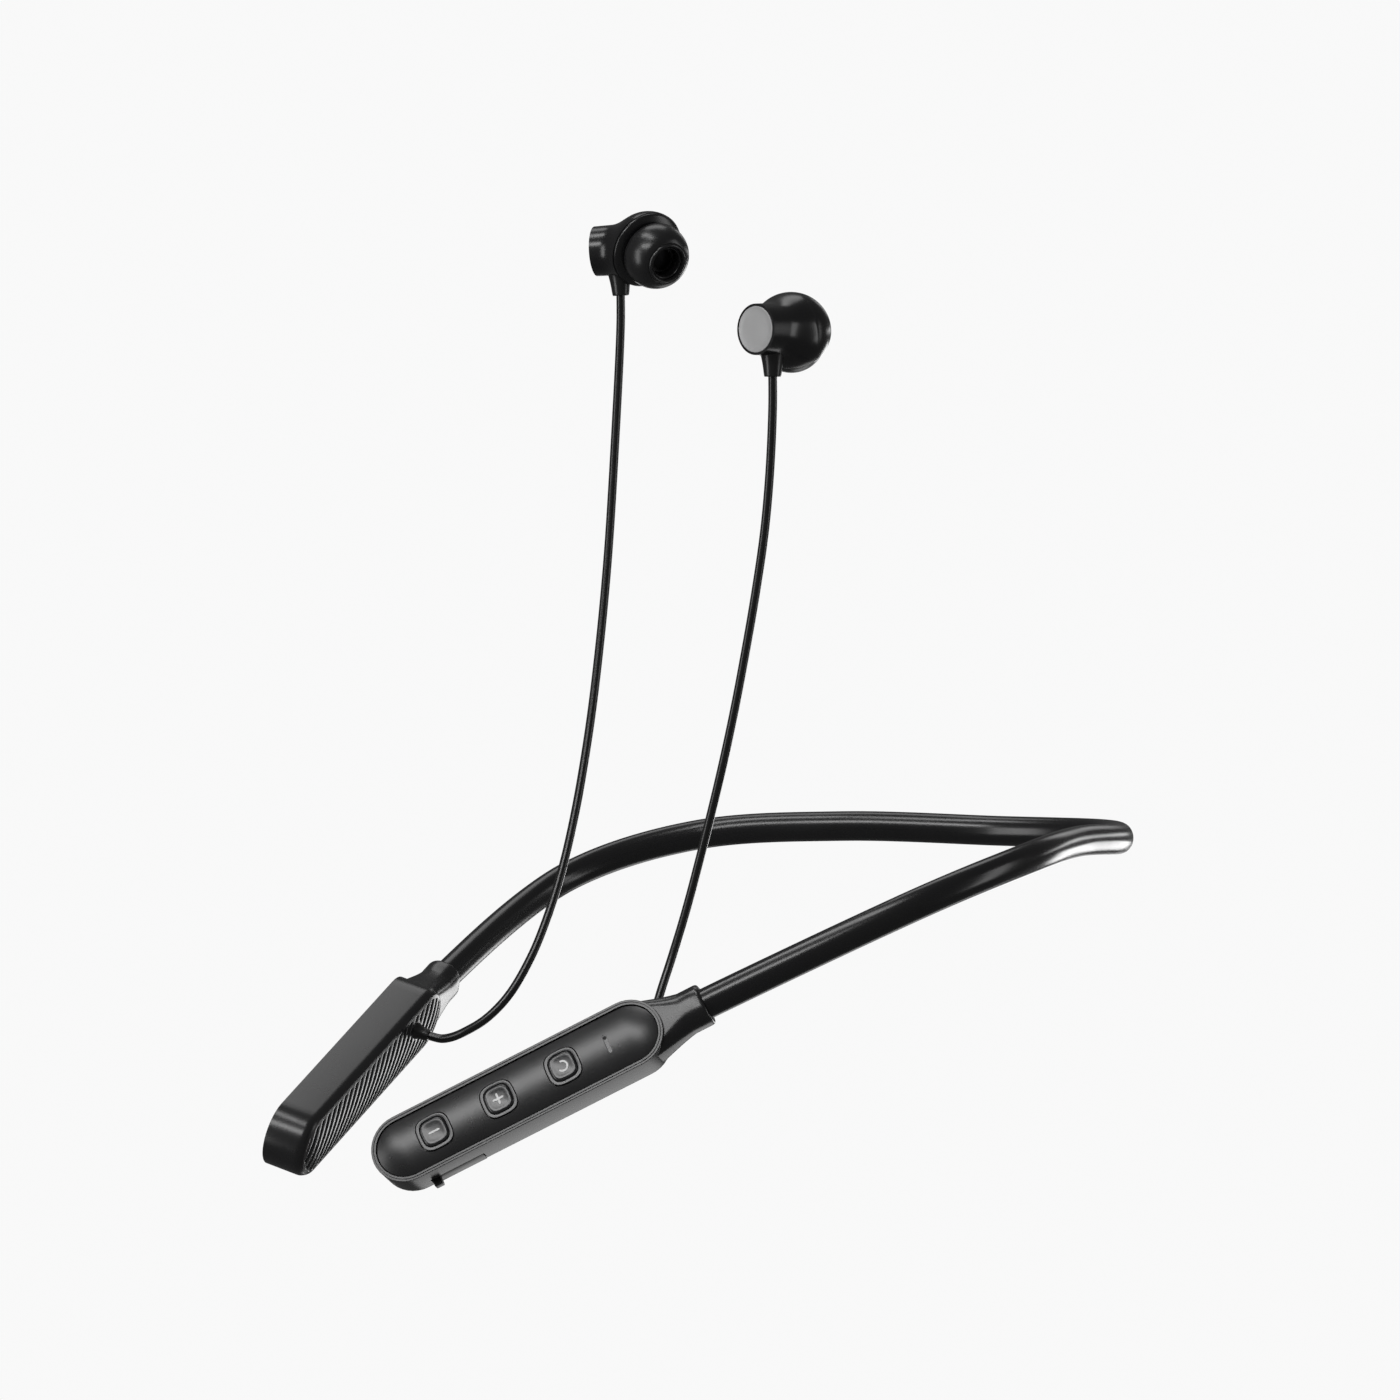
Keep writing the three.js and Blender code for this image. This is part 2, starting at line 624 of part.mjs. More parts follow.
// The rear housing joins a forward-facing drum to a dome turned towards the ear.
function budShape(sign, radius, domeRadius, domeDepth, low) {
  const nozzle = nozzleFrame(sign);
  const barrel = drum(radius, low, 12, 24).rotateX(-Math.PI / 2);
  const behindFlange = drum(20, -30, 0, 12).applyMatrix4(nozzle.matrix);
  const profile = [];
  for (let i = 0; i <= 5; i += 1) {
    const angle = i / 5 * Math.PI / 2;
    profile.push([domeRadius * Math.sin(angle), -domeDepth * Math.cos(angle)]);
  }
  profile.push([0, 0]);
  const dome = turned(profile, 24).applyMatrix4(nozzle.matrix);
  return toSolid(barrel).intersect(toSolid(behindFlange)).add(toSolid(dome));
}

// Room for the strain relief, which hangs straight down under the bud.
function stemSeat() {
  const seat = drum(STEM_TOP_RADIUS + GAP, STEM_BOTTOM, STEM_TOP + GAP, 16);
  return seat.translate(0, STEM_AT, 0);
}

function rearHousing(sign) {
  const outer = budShape(sign, BUD_CYLINDER_RADIUS, FLANGE_RADIUS, DOME_DEPTH, 0);
  const wall = BUD_WALL;
  const inner = budShape(
    sign, BUD_CYLINDER_RADIUS - wall, FLANGE_RADIUS - wall, DOME_DEPTH - wall, 2,
  );
  const opening = drum(FLANGE_RADIUS - wall, -0.2, 1, 24).applyMatrix4(nozzleFrame(sign).matrix);
  const bore = drum(BUD_CYLINDER_RADIUS - wall, 0.5, 4, 24).rotateX(-Math.PI / 2);
  const seat = drum(DISC_RADIUS + GAP / 2, -1, DISC_THICKNESS + GAP, 24).rotateX(-Math.PI / 2);
  const solid = outer
    .subtract(inner)
    .subtract(toSolid(opening))
    .subtract(toSolid(bore))
    .subtract(toSolid(seat))
    .subtract(toSolid(stemSeat()));
  return toGeometry(solid);
}

function frontHousing(sign) {
  const intoNozzleFrame = nozzleFrame(sign).matrix.invert();
  const blank = turned([
    [6.4, GAP],
    [FLANGE_RADIUS - 0.1, GAP],
    [FLANGE_RADIUS - 0.5, 1],
    [3.6, 2.5],
    [NOZZLE_RADIUS, 3.1],
    [NOZZLE_RADIUS, NOZZLE_LENGTH],
    [NOZZLE_BORE, NOZZLE_LENGTH],
    [NOZZLE_BORE, 2.3],
    [6, 1],
    [6.4, GAP],
  ], 20);
  return cut(blank, stemSeat().applyMatrix4(intoNozzleFrame));
}

function earTip() {
  const bore = NOZZLE_RADIUS + GAP;
  return turned([
    [bore, 3.5],
    [3.6, 3.5],
    [3.6, 8.5],
    [4.8, 8.2],
    [5.8, 7.1],
    [6.3, 5.6],
    [6.2, 3.7],
    [6.7, 3.6],
    [6.95, 5.4],
    [6.5, 7.5],
    [5.5, 9],
    [3.85, 9.8],
    [bore, 9.8],
    [bore, 3.5],
  ], 20);
}

function addEarbud(parent, side) {
  const bud = budFrame(side);
  parent.add(bud);
  const part = (name) => `${side.name}_${name}`;
  addPiece(bud, part('rear_housing'), rearHousing(side.sign), 'gloss');
  const disc = drum(DISC_RADIUS, 0, DISC_THICKNESS, 24).rotateX(-Math.PI / 2);
  addPiece(bud, part('end_disc'), disc, 'disc');
  const magnet = drum(MAGNET_RADIUS, MAGNET_START, MAGNET_END, 16).rotateX(-Math.PI / 2);
  addPiece(bud, part('magnet'), magnet, 'steel');
  const relief = turned([
    [0, STEM_BOTTOM],
    [STEM_BOTTOM_RADIUS, STEM_BOTTOM],
    [STEM_TOP_RADIUS, STEM_TOP],
    [0, STEM_TOP],
  ], 12);
  const stem = addPiece(bud, part('strain_relief'), relief, 'rubber');
  stem.position.set(0, STEM_AT, 0);

  const nozzle = nozzleFrame(side.sign);
  bud.add(nozzle);
  const driver = turned([
    [0, -2.6],
    [3, -2.6],
    [3.4, -1.6],
    [4.9, -1.4],
    [4.9, -0.3],
    [4.2, -0.3],
    [0, -0.6],
  ], 20);
  addPiece(nozzle, part('driver'), driver, 'steel');
  addPiece(nozzle, part('front_housing'), frontHousing(side.sign), 'gloss');
  const mesh = drum(NOZZLE_BORE - GAP / 2, MESH_LOW, MESH_HIGH, 14);
  addPiece(nozzle, part('nozzle_mesh'), mesh, 'steel');
  addPiece(nozzle, part('ear_tip'), earTip(), 'rubber');
}

// ---- cords --------------------------------------------------------------------------------

function addCord(parent, side, route, steps) {
  const start = podPoint(side.sign, EXIT_AT, EXIT_RISE * side.sign, GROMMET_END - GAP);
  const bud = budFrame(side);
  bud.updateMatrix();
  const end = new THREE.Vector3(0, STEM_AT, STEM_BOTTOM - GAP).applyMatrix4(bud.matrix);
  const below = end.clone().add(new THREE.Vector3(0, 0, -CORD_DROP));
  const points = [start, ...route.map((point) => mirrored(point, 1)), below, end];
  const curve = new THREE.CatmullRomCurve3(points, false, 'centripetal');
  const section = new THREE.Shape(oval(CORD_RADIUS, CORD_RADIUS, CORD_SIDES));
  addPiece(parent, `${side.name}_cord`, sweep(section, curve, steps), 'cord');
}

// ---- assembly -----------------------------------------------------------------------------

const earphones = new THREE.Group();
addBand(earphones);
addControlPod(earphones);
addBatteryPod(earphones);
addEarbud(earphones, LEFT);
addEarbud(earphones, RIGHT);
addCord(earphones, LEFT, LEFT_CORD_ROUTE, 40);
addCord(earphones, RIGHT, RIGHT_CORD_ROUTE, 40);
earphones.updateMatrixWorld(true);

export default earphones;
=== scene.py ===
"""Looks of the neckband earphones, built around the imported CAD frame.

Lengths are in mm, unless a name ends in _M.
"""
import json
import math

import bmesh
import bpy
import numpy as np
from mathutils import Euler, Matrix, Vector


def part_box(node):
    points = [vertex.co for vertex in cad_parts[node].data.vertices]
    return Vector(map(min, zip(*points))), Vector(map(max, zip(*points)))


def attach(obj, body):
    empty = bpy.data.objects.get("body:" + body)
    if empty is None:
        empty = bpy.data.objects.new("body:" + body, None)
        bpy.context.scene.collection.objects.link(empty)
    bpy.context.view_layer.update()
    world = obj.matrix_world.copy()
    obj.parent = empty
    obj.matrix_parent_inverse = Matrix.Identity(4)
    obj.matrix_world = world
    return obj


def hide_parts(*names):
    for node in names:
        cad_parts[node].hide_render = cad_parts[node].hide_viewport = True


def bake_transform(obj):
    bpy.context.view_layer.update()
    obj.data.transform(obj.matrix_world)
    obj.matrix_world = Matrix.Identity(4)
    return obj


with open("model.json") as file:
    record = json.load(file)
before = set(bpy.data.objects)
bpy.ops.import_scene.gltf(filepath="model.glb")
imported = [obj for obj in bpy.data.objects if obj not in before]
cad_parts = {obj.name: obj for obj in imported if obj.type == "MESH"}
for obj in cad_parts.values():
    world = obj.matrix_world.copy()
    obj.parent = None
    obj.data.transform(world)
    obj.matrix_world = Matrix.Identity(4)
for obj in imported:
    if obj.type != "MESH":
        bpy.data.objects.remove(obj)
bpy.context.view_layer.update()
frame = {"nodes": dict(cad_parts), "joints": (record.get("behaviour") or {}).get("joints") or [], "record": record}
record = frame["record"]

MM = 0.001
LEFT, RIGHT = 1, -1
SIDE_NAMES = {LEFT: "left", RIGHT: "right"}

# ---- frames taken from the CAD model ------------------------------------------------------

joints = {joint["name"]: joint for joint in frame["joints"]}
mounts = {mount["name"]: mount for mount in record["mounts"]}


def middle(node):
    low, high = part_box(node)
    return np.array((low + high) / 2) / MM


def unit(vector):
    vector = np.array(vector, float)
    return vector / np.linalg.norm(vector)


# The left pod's frame: X from its tip to the collar, Y up across it, Z out of the outer face.
MINUS_AT, PLUS_AT, FUNCTION_AT = 12.9, 26.4, 39.9
BUTTON_MIDDLE = 3.825
POD_X = unit(middle("function_button") - middle("minus_button"))
POD_Z = unit(joints["port_cover_hinge"]["axis"])
POD_Y = np.cross(POD_Z, POD_X)
POD_ORIGIN = middle("minus_button") - MINUS_AT * POD_X - BUTTON_MIDDLE * POD_Z


def on_pod(points, side):
    """Points in the left pod's frame, or their mirror images on the right pod, in the row frame."""
    points = np.atleast_2d(points)
    world = POD_ORIGIN + points @ np.array([POD_X, POD_Y, POD_Z])
    world[:, 0] *= side
    return world


BUD_NOZZLE_AT = np.array([0, 9.6, 0.3])  # centre of the flange in the bud's frame
NOZZLE_TURN = math.radians(42.7)
NOZZLE_DROP = math.radians(23)
NOZZLE_AXIS = np.array([
    -math.sin(NOZZLE_TURN) * math.cos(NOZZLE_DROP),
    math.cos(NOZZLE_TURN) * math.cos(NOZZLE_DROP),
    -math.sin(NOZZLE_DROP),
])


def on_bud(points, side):
    """Points in the left bud's frame, mirrored for the right bud, in the row frame."""
    name = SIDE_NAMES[side]
    disc = mounts[name + "_disc_face"]
    y_axis = -unit(disc["axis"])
    z_axis = unit(joints[name + "_bud_twist"]["axis"])
    x_axis = np.cross(y_axis, z_axis)
    points = np.atleast_2d(points) * [side, 1, 1]
    return np.array(disc["pos_m"]) / MM + points @ np.array([x_axis, y_axis, z_axis])


def on_nozzle(points, side):
    """Points in the nozzle's frame, Z along the nozzle from the flange's centre."""
    x_axis = unit(np.cross([0, 0, 1], NOZZLE_AXIS))
    y_axis = np.cross(NOZZLE_AXIS, x_axis)
    points = np.atleast_2d(points)
    return on_bud(BUD_NOZZLE_AT + points @ np.array([x_axis, y_axis, NOZZLE_AXIS]), side)


# ---- routes, the same points as in the CAD model ------------------------------------------

BAND_HALF_PATH = [
    (0, 2.6, 0), (23.1, -6.2, 0), (46.7, -29.4, 0.6), (66.6, -51.7, -1.5), (71.2, -76.8, -9.0),
    (54.5, -113.4, -27.8),
]
BAND_END = 62.5
LEFT_CORD_ROUTE = [
    (36.0, -122.8, -39.2), (33.6, -120.4, -40.1), (30.8, -117.4, -40.0), (28.3, -114.1, -38.2),
    (26.7, -110.8, -34.0), (26.0, -107.9, -26.7), (25.6, -105.6, -21.1), (26.0, -102.9, -12.7),
    (27.0, -100.4, -2.7), (29.1, -97.2, 12.8), (30.7, -95.0, 25.1), (32.1, -93.1, 37.4),
    (33.2, -91.5, 48.7), (34.0, -90.1, 60.0), (34.6, -89.3, 71.3),
]
RIGHT_CORD_ROUTE = [
    (-36.2, -123.2, -38.6), (-34.2, -121.8, -38.2), (-32.0, -120.2, -37.1),
    (-29.2, -117.1, -34.6), (-27.4, -113.1, -30.1), (-26.6, -108.7, -22.9),
    (-26.6, -105.2, -15.4), (-27.2, -101.6, -6.1), (-28.4, -98.0, 5.4), (-30.2, -94.1, 20.9),
    (-31.8, -91.1, 36.3), (-33.4, -88.4, 53.8), (-34.5, -86.3, 75.1),
]
CORD_RADIUS = 0.85
EXIT_AT, EXIT_RISE = 47.5, 2.0
GROMMET_END = -7.2
STEM_AT, STEM_BOTTOM = 4.6, -8.9
CORD_INTO_STEM = 0.8
CORD_DROP = 6.5  # how far the cord hangs straight down below the bud
CORD_STEP = 0.8


def spline(points, per_segment):
    """A centripetal Catmull-Rom curve through the points."""
    points = np.array(points, float)
    points = np.vstack([2 * points[0] - points[1], points, 2 * points[-1] - points[-2]])
    out = []
    for p0, p1, p2, p3 in zip(points, points[1:], points[2:], points[3:]):
        d0, d1, d2 = (np.linalg.norm(b - a) ** 0.5 for a, b in ((p0, p1), (p1, p2), (p2, p3)))
        m1 = ((p1 - p0) / d0 - (p2 - p0) / (d0 + d1) + (p2 - p1) / d1) * d1
        m2 = ((p2 - p1) / d1 - (p3 - p1) / (d1 + d2) + (p3 - p2) / d2) * d1
        for t in np.arange(per_segment) / per_segment:
            out.append((2 * t**3 - 3 * t**2 + 1) * p1 + (t**3 - 2 * t**2 + t) * m1
                       + (3 * t**2 - 2 * t**3) * p2 + (t**3 - t**2) * m2)
    out.append(points[-2])
    return np.array(out)


def resample(points, step):
    """The same line with evenly spaced points."""
    lengths = np.concatenate([[0], np.cumsum(np.linalg.norm(np.diff(points, axis=0), axis=1))])
    count = int(round(lengths[-1] / step)) + 1
    wanted = np.linspace(0, lengths[-1], count)
    return np.stack([np.interp(wanted, lengths, points[:, i]) for i in range(3)], 1)


# ---- mesh helpers -------------------------------------------------------------------------

SHARP_ANGLE = math.radians(38)


def shade(mesh, angle=SHARP_ANGLE):
    """Smooth shading with sharp edges where faces meet at more than the angle."""
    shaped = bmesh.new()
    shaped.from_mesh(mesh)
    bmesh.ops.recalc_face_normals(shaped, faces=shaped.faces)
    for face in shaped.faces:
        face.smooth = True
    for edge in shaped.edges:
        edge.smooth = len(edge.link_faces) == 2 and edge.calc_face_angle(0) < angle
    shaped.to_mesh(mesh)
    shaped.free()


def make_piece(name, points, faces, material, body=None, nodes=(), angle=SHARP_ANGLE):
    """A closed mesh from points in mm in the row frame, riding on a body."""
    mesh = bpy.data.meshes.new(name)
    mesh.from_pydata((np.array(points) * MM).tolist(), [], faces)
    piece = bpy.data.objects.new(name, mesh)
    bpy.context.scene.collection.objects.link(piece)
    mesh.materials.append(material)
    shade(mesh, angle)
    if body:
        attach(piece, body)
    if nodes:
        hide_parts(*nodes)
    return piece


def skin(loops, closed=False):
    """Points and faces of a skin through equal loops, capped at both ends unless it closes on itself."""
    sides = len(loops[0])
    points = np.vstack(loops)
    faces = []
    pairs = [(i, i + 1) for i in range(len(loops) - 1)]
    if closed:
        pairs.append((len(loops) - 1, 0))
    for a, b in pairs:
        for j in range(sides):
            k = (j + 1) % sides
            faces.append((a * sides + j, a * sides + k, b * sides + k, b * sides + j))
    if not closed:
        faces.append(tuple(reversed(range(sides))))
        faces.append(tuple(range((len(loops) - 1) * sides, len(loops) * sides)))
    return points, faces


def round_corner(start, corner, end, steps=4):
    """Points of a smooth turn from start to end that heads for the corner."""
    start, corner, end = (np.array(p, float) for p in (start, corner, end))
    return [tuple((1 - t)**2 * start + 2 * t * (1 - t) * corner + t**2 * end)
            for t in np.linspace(0, 1, steps + 1)]


def turned(profile, segments=64):
    """A solid of revolution about Z from (radius, height) points; a zero radius closes on the axis."""
    angles = np.arange(segments) / segments * 2 * math.pi
    ring = np.stack([np.cos(angles), np.sin(angles)], 1)
    closes = profile[0] == profile[-1]
    rows = profile[:-1] if closes else profile
    loops = [np.column_stack([ring * max(radius, 1e-3), np.full(segments, height)])
             for radius, height in rows]
    return skin(loops, closed=closes)


def stadium(start, end, half_width, height, straight=36, arc=20):
    """A loop round a stadium that lies along X, at one height."""
    half_width = max(half_width, 0.01)
    right, left = end - half_width, start + half_width
    loop = [(x, -half_width) for x in np.linspace(left, right, straight, endpoint=False)]
    for angle in np.linspace(-math.pi / 2, math.pi / 2, arc, endpoint=False):
        loop.append((right + half_width * math.cos(angle), half_width * math.sin(angle)))
    loop += [(x, half_width) for x in np.linspace(right, left, straight, endpoint=False)]
    for angle in np.linspace(math.pi / 2, math.pi * 1.5, arc, endpoint=False):
        loop.append((left + half_width * math.cos(angle), half_width * math.sin(angle)))
    return np.column_stack([np.array(loop), np.full(len(loop), height)])


def squircle(centre_x, half_size, height, power=3.2, sides=56):
    """A loop round a square with soft corners, centred on the pod's axis."""
    angles = np.arange(sides) / sides * 2 * math.pi
    x, y = np.cos(angles), np.sin(angles)
    reach = half_size / (np.abs(x)**power + np.abs(y)**power) ** (1 / power)
    return np.column_stack([centre_x + reach * x, reach * y, np.full(sides, height)])


# ---- materials ----------------------------------------------------------------------------

MOTTLE_SCALE = 160
MOTTLE_SPREAD = 0.14  # share by which the colour varies either way
GRAIN_DEPTH_M = 0.00004


def moulded(name, colour, roughness, grain=5200, bump=0.05, spread=0.05, specular=0.5):
    """Moulded plastic or rubber: fine grain, a slight mottle and uneven roughness."""
    material = bpy.data.materials.new(name)
    material.use_nodes = True
    nodes, links = material.node_tree.nodes, material.node_tree.links
    shader = nodes["Principled BSDF"]
    shader.inputs["Specular IOR Level"].default_value = specular
    place = nodes.new("ShaderNodeTexCoord")

    mottle = nodes.new("ShaderNodeTexNoise")
    mottle.inputs["Scale"].default_value = MOTTLE_SCALE
    mottle.inputs["Detail"].default_value = 5
    links.new(place.outputs["Object"], mottle.inputs["Vector"])
    tint = nodes.new("ShaderNodeMix")
    tint.data_type = "RGBA"
    tint.inputs["A"].default_value = (*[c * (1 - MOTTLE_SPREAD) for c in colour], 1)
    tint.inputs["B"].default_value = (*[c * (1 + MOTTLE_SPREAD) for c in colour], 1)
    links.new(mottle.outputs["Fac"], tint.inputs["Factor"])
    links.new(tint.outputs["Result"], shader.inputs["Base Color"])

    uneven = nodes.new("ShaderNodeMapRange")
    uneven.inputs["To Min"].default_value = roughness - spread
    uneven.inputs["To Max"].default_value = roughness + spread
    links.new(mottle.outputs["Fac"], uneven.inputs["Value"])
    links.new(uneven.outputs["Result"], shader.inputs["Roughness"])

    fine = nodes.new("ShaderNodeTexNoise")
    fine.inputs["Scale"].default_value = grain
    fine.inputs["Detail"].default_value = 2
    links.new(place.outputs["Object"], fine.inputs["Vector"])
    relief = nodes.new("ShaderNodeBump")
    relief.inputs["Strength"].default_value = bump
    relief.inputs["Distance"].default_value = GRAIN_DEPTH_M
    links.new(fine.outputs["Fac"], relief.inputs["Height"])
    links.new(relief.outputs["Normal"], shader.inputs["Normal"])
    return material


def spun_metal(name, colour, roughness, metallic):
    """Metal, wholly or in part, with a fine even grain."""
    material = moulded(name, colour, roughness, grain=9000, bump=0.1)
    shader = material.node_tree.nodes["Principled BSDF"]
    shader.inputs["Metallic"].default_value = metallic
    return material


BAND = moulded("band_silicone", (0.009, 0.009, 0.0095), 0.24, bump=0.012, spread=0.02)
SHELL = moulded("pod_shell", (0.011, 0.011, 0.0115), 0.27, bump=0.02, spread=0.02)
PANEL = moulded("pod_panel", (0.011, 0.011, 0.0115), 0.28, bump=0.03, spread=0.02)
# A little lighter than the shell's plastic: painted light for the brightly lit rib lands.
RIBBED = moulded("ribbed_plastic", (0.016, 0.016, 0.017), 0.26, bump=0.02, spread=0.02)
BUTTON = moulded("button_plastic", (0.016, 0.016, 0.017), 0.24, bump=0.02, spread=0.02)
SYMBOL = moulded("button_symbol", (0.7, 0.7, 0.7), 0.5)
RUBBER = moulded("black_rubber", (0.01, 0.01, 0.01), 0.3, bump=0.04)
TIP = moulded("ear_tip_silicone", (0.01, 0.01, 0.0105), 0.29, bump=0.01, spread=0.02)
CORD = moulded("cord_jacket", (0.008, 0.008, 0.008), 0.27, bump=0.02, spread=0.02)
GLOSS = moulded("bud_gloss", (0.008, 0.008, 0.0085), 0.24, bump=0.008, spread=0.02)
DISC = spun_metal("disc_metal", (0.36, 0.36, 0.362), 0.5, 0.35)
STEEL = spun_metal("steel", (0.55, 0.55, 0.56), 0.35, 1.0)
# The gauze's steel is made near black: painted shade for the deep inside of the nozzle.
MESH = spun_metal("nozzle_mesh_metal_and_painted_shade", (0.02, 0.02, 0.021), 0.45, 1.0)
# Near black: the chip's own colour, and painted shade on the plug that stands in for the microphone's hole.
BLACK_AND_HOLE_SHADE = moulded("black_chip_and_painted_hole_shade", (0.004, 0.004, 0.004), 0.7)
GUIDE = moulded("light_guide", (0.3, 0.3, 0.31), 0.3)
BOARD = moulded("circuit_board", (0.01, 0.06, 0.025), 0.4)
FOIL = spun_metal("battery_foil", (0.6, 0.6, 0.62), 0.4, 0.9)

INNER_NODES = {
    "steel": STEEL, "circuit_board": BOARD, "chip_black": BLACK_AND_HOLE_SHADE, "battery_foil": FOIL,
    "light_guide": GUIDE, "wire_jacket": RUBBER,
}
for entry in record["subparts"]:
    if entry["material_slot"] in INNER_NODES:
        node = frame["nodes"][entry["node"]]
        node.data.materials.clear()
        node.data.materials.append(INNER_NODES[entry["material_slot"]])

# ---- camera -------------------------------------------------------------------------------

CAMERA_AZIMUTH, CAMERA_ELEVATION = math.radians(62), math.radians(1.35)
CAMERA_PLACE_M = (1.75969, -1.02147, 0.07417)
CAMERA_LENS, SENSOR_WIDTH = 267.4, 36
CAMERA_REACH_M = 100
camera_data = bpy.data.cameras.new("camera")
camera_data.lens = CAMERA_LENS
camera_data.sensor_width = SENSOR_WIDTH
camera_data.clip_end = CAMERA_REACH_M
camera = bpy.data.objects.new("camera", camera_data)
camera.location = CAMERA_PLACE_M
camera.rotation_euler = Euler((math.pi / 2 - CAMERA_ELEVATION, 0, CAMERA_AZIMUTH))
bpy.context.scene.collection.objects.link(camera)
bpy.context.scene.camera = camera

# ---- cords --------------------------------------------------------------------------------


def add_cord(side, route):
    name = SIDE_NAMES[side]
    start = on_pod([EXIT_AT, EXIT_RISE, GROMMET_END - 0.1], side)[0]
    end = on_bud([0, STEM_AT, STEM_BOTTOM + CORD_INTO_STEM], side)[0]
    line = resample(spline([start, *route, end - [0, 0, CORD_DROP], end], 16), CORD_STEP)
    data = bpy.data.curves.new(name + "_cord_line", "CURVE")
    data.dimensions = "3D"
    data.bevel_depth = CORD_RADIUS * MM
    data.bevel_resolution = 6
    data.use_fill_caps = True
    path = data.splines.new("POLY")
    path.points.add(len(line) - 1)
    for point, place in zip(path.points, line):
        point.co = (*(place * MM), 1)
    path.use_smooth = True
    data.materials.append(CORD)
    piece = bpy.data.objects.new(name + "_cord_skin", data)
    bpy.context.scene.collection.objects.link(piece)
    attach(piece, name + "_arm")
    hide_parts(name + "_cord")


add_cord(LEFT, LEFT_CORD_ROUTE)
add_cord(RIGHT, RIGHT_CORD_ROUTE)

# ---- band ---------------------------------------------------------------------------------

BAND_HALF_HEIGHT, BAND_HALF_DEPTH = 2.95, 2.6
BAND_STEP, BAND_SIDES = 1.1, 36


def add_band(side):
    name = SIDE_NAMES[side]
    inside = on_pod([BAND_END, 0, 0], LEFT)[0]
    half = [*BAND_HALF_PATH, inside]
    other = [(-x, y, z) for x, y, z in reversed(half[1:])]
    line = spline([*other, *half], 40)
    line = resample(line[line[:, 0] > -1e-6], BAND_STEP)
    line[0] = (0, BAND_HALF_PATH[0][1], 0)
    tangents = np.gradient(line, axis=0)
    tangents[0] = (1, 0, 0)
    angles = np.arange(BAND_SIDES) / BAND_SIDES * 2 * math.pi
    loops = []
    for place, tangent in zip(line, tangents):
        tangent = unit(tangent)
        up = unit(np.array([0, 0, 1]) - tangent[2] * tangent)
        across = np.cross(tangent, up)
        loops.append(place + BAND_HALF_HEIGHT * np.outer(np.sin(angles), up)
                     + BAND_HALF_DEPTH * np.outer(np.cos(angles), across))
    loops = [loop * [side, 1, 1] for loop in loops]
    points, faces = skin(loops)
    piece = make_piece(name + "_band_skin", points, faces, BAND)
    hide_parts(f"band_sleeve_{name}", "band_sleeve_nape")
    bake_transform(piece)


add_band(LEFT)
add_band(RIGHT)

# ---- pod housings -------------------------------------------------------------------------

HALF_WIDTH, HALF_THICKNESS = 6.6, 4.4
BODY_END = 60.2
RIM_TOP = HALF_THICKNESS
SKIN_EDGE = 2.3
SHOULDER, COLLAR_START = 53.2, 64.5
COLLAR_HALF_WIDTH, COLLAR_HALF_THICKNESS, COLLAR_EDGE = 4.05, 3.6, 3.1
COLLAR_BORE = 3.2
COLLAR_LIP = ((68.2, 0.05), (68.45, 0.17), (68.57, 0.34), (68.6, 0.5))  # (x, drawn in by)
BORE_RINGS = ((68.45, COLLAR_BORE), (66.5, COLLAR_BORE), (66, 2))  # (x, radius)
COLLAR_STEP = 0.4
COVER_INSET = 0.86
COVER_EDGE_HEIGHT = -3.86
SEAT_INSET = 0.8
SEAT_HEIGHT = -3.1
PORT_START, PORT_END, PORT_HEIGHT = 8.0, 19.0, -1.5
PORT_HALF_HEIGHT = 1.75
SEAM = 0.12  # open line round the port cover
PORT_SEAT_BACK = -5.45
PAST_WALL = -8  # well outside the lower wall
MOUTH_LOW, MOUTH_HIGH = (8.8, PAST_WALL, -3.05), (18.2, 2.2, 0.06)


def body_profile():
    """(inset from the outline, height) from the seat of the inner cover round to the panel's seat."""
    profile = [(1.6, SEAT_HEIGHT), (SEAT_INSET, SEAT_HEIGHT)]
    for inset in (SEAT_INSET, 0.68, 0.55):
        drop = math.sqrt(SKIN_EDGE**2 - (SKIN_EDGE - inset) ** 2)
        profile.append((inset, SKIN_EDGE - HALF_THICKNESS - drop))
    for angle in np.linspace(math.radians(48), math.radians(90), 7):
        profile.append((SKIN_EDGE - SKIN_EDGE * math.sin(angle),
                        SKIN_EDGE - HALF_THICKNESS - SKIN_EDGE * math.cos(angle)))
    profile += [(0, 0)]
    profile += round_corner((0, RIM_TOP - 0.12), (0, RIM_TOP), (0.08, RIM_TOP), 4)
    profile += [(0.1, RIM_TOP), (0.38, RIM_TOP)]
    profile += round_corner((0.4, RIM_TOP), (0.43, RIM_TOP), (0.44, RIM_TOP - 0.2), 3)
    profile += round_corner((0.52, RIM_TOP - 0.2), (0.53, RIM_TOP), (0.56, RIM_TOP), 3)
    profile += [(0.58, RIM_TOP), (0.88, RIM_TOP)]
    profile += round_corner((0.9, RIM_TOP), (0.95, RIM_TOP), (0.95, RIM_TOP - 0.3), 4)
    profile += [(0.97, 3.0), (1.8, 2.95)]
    return profile


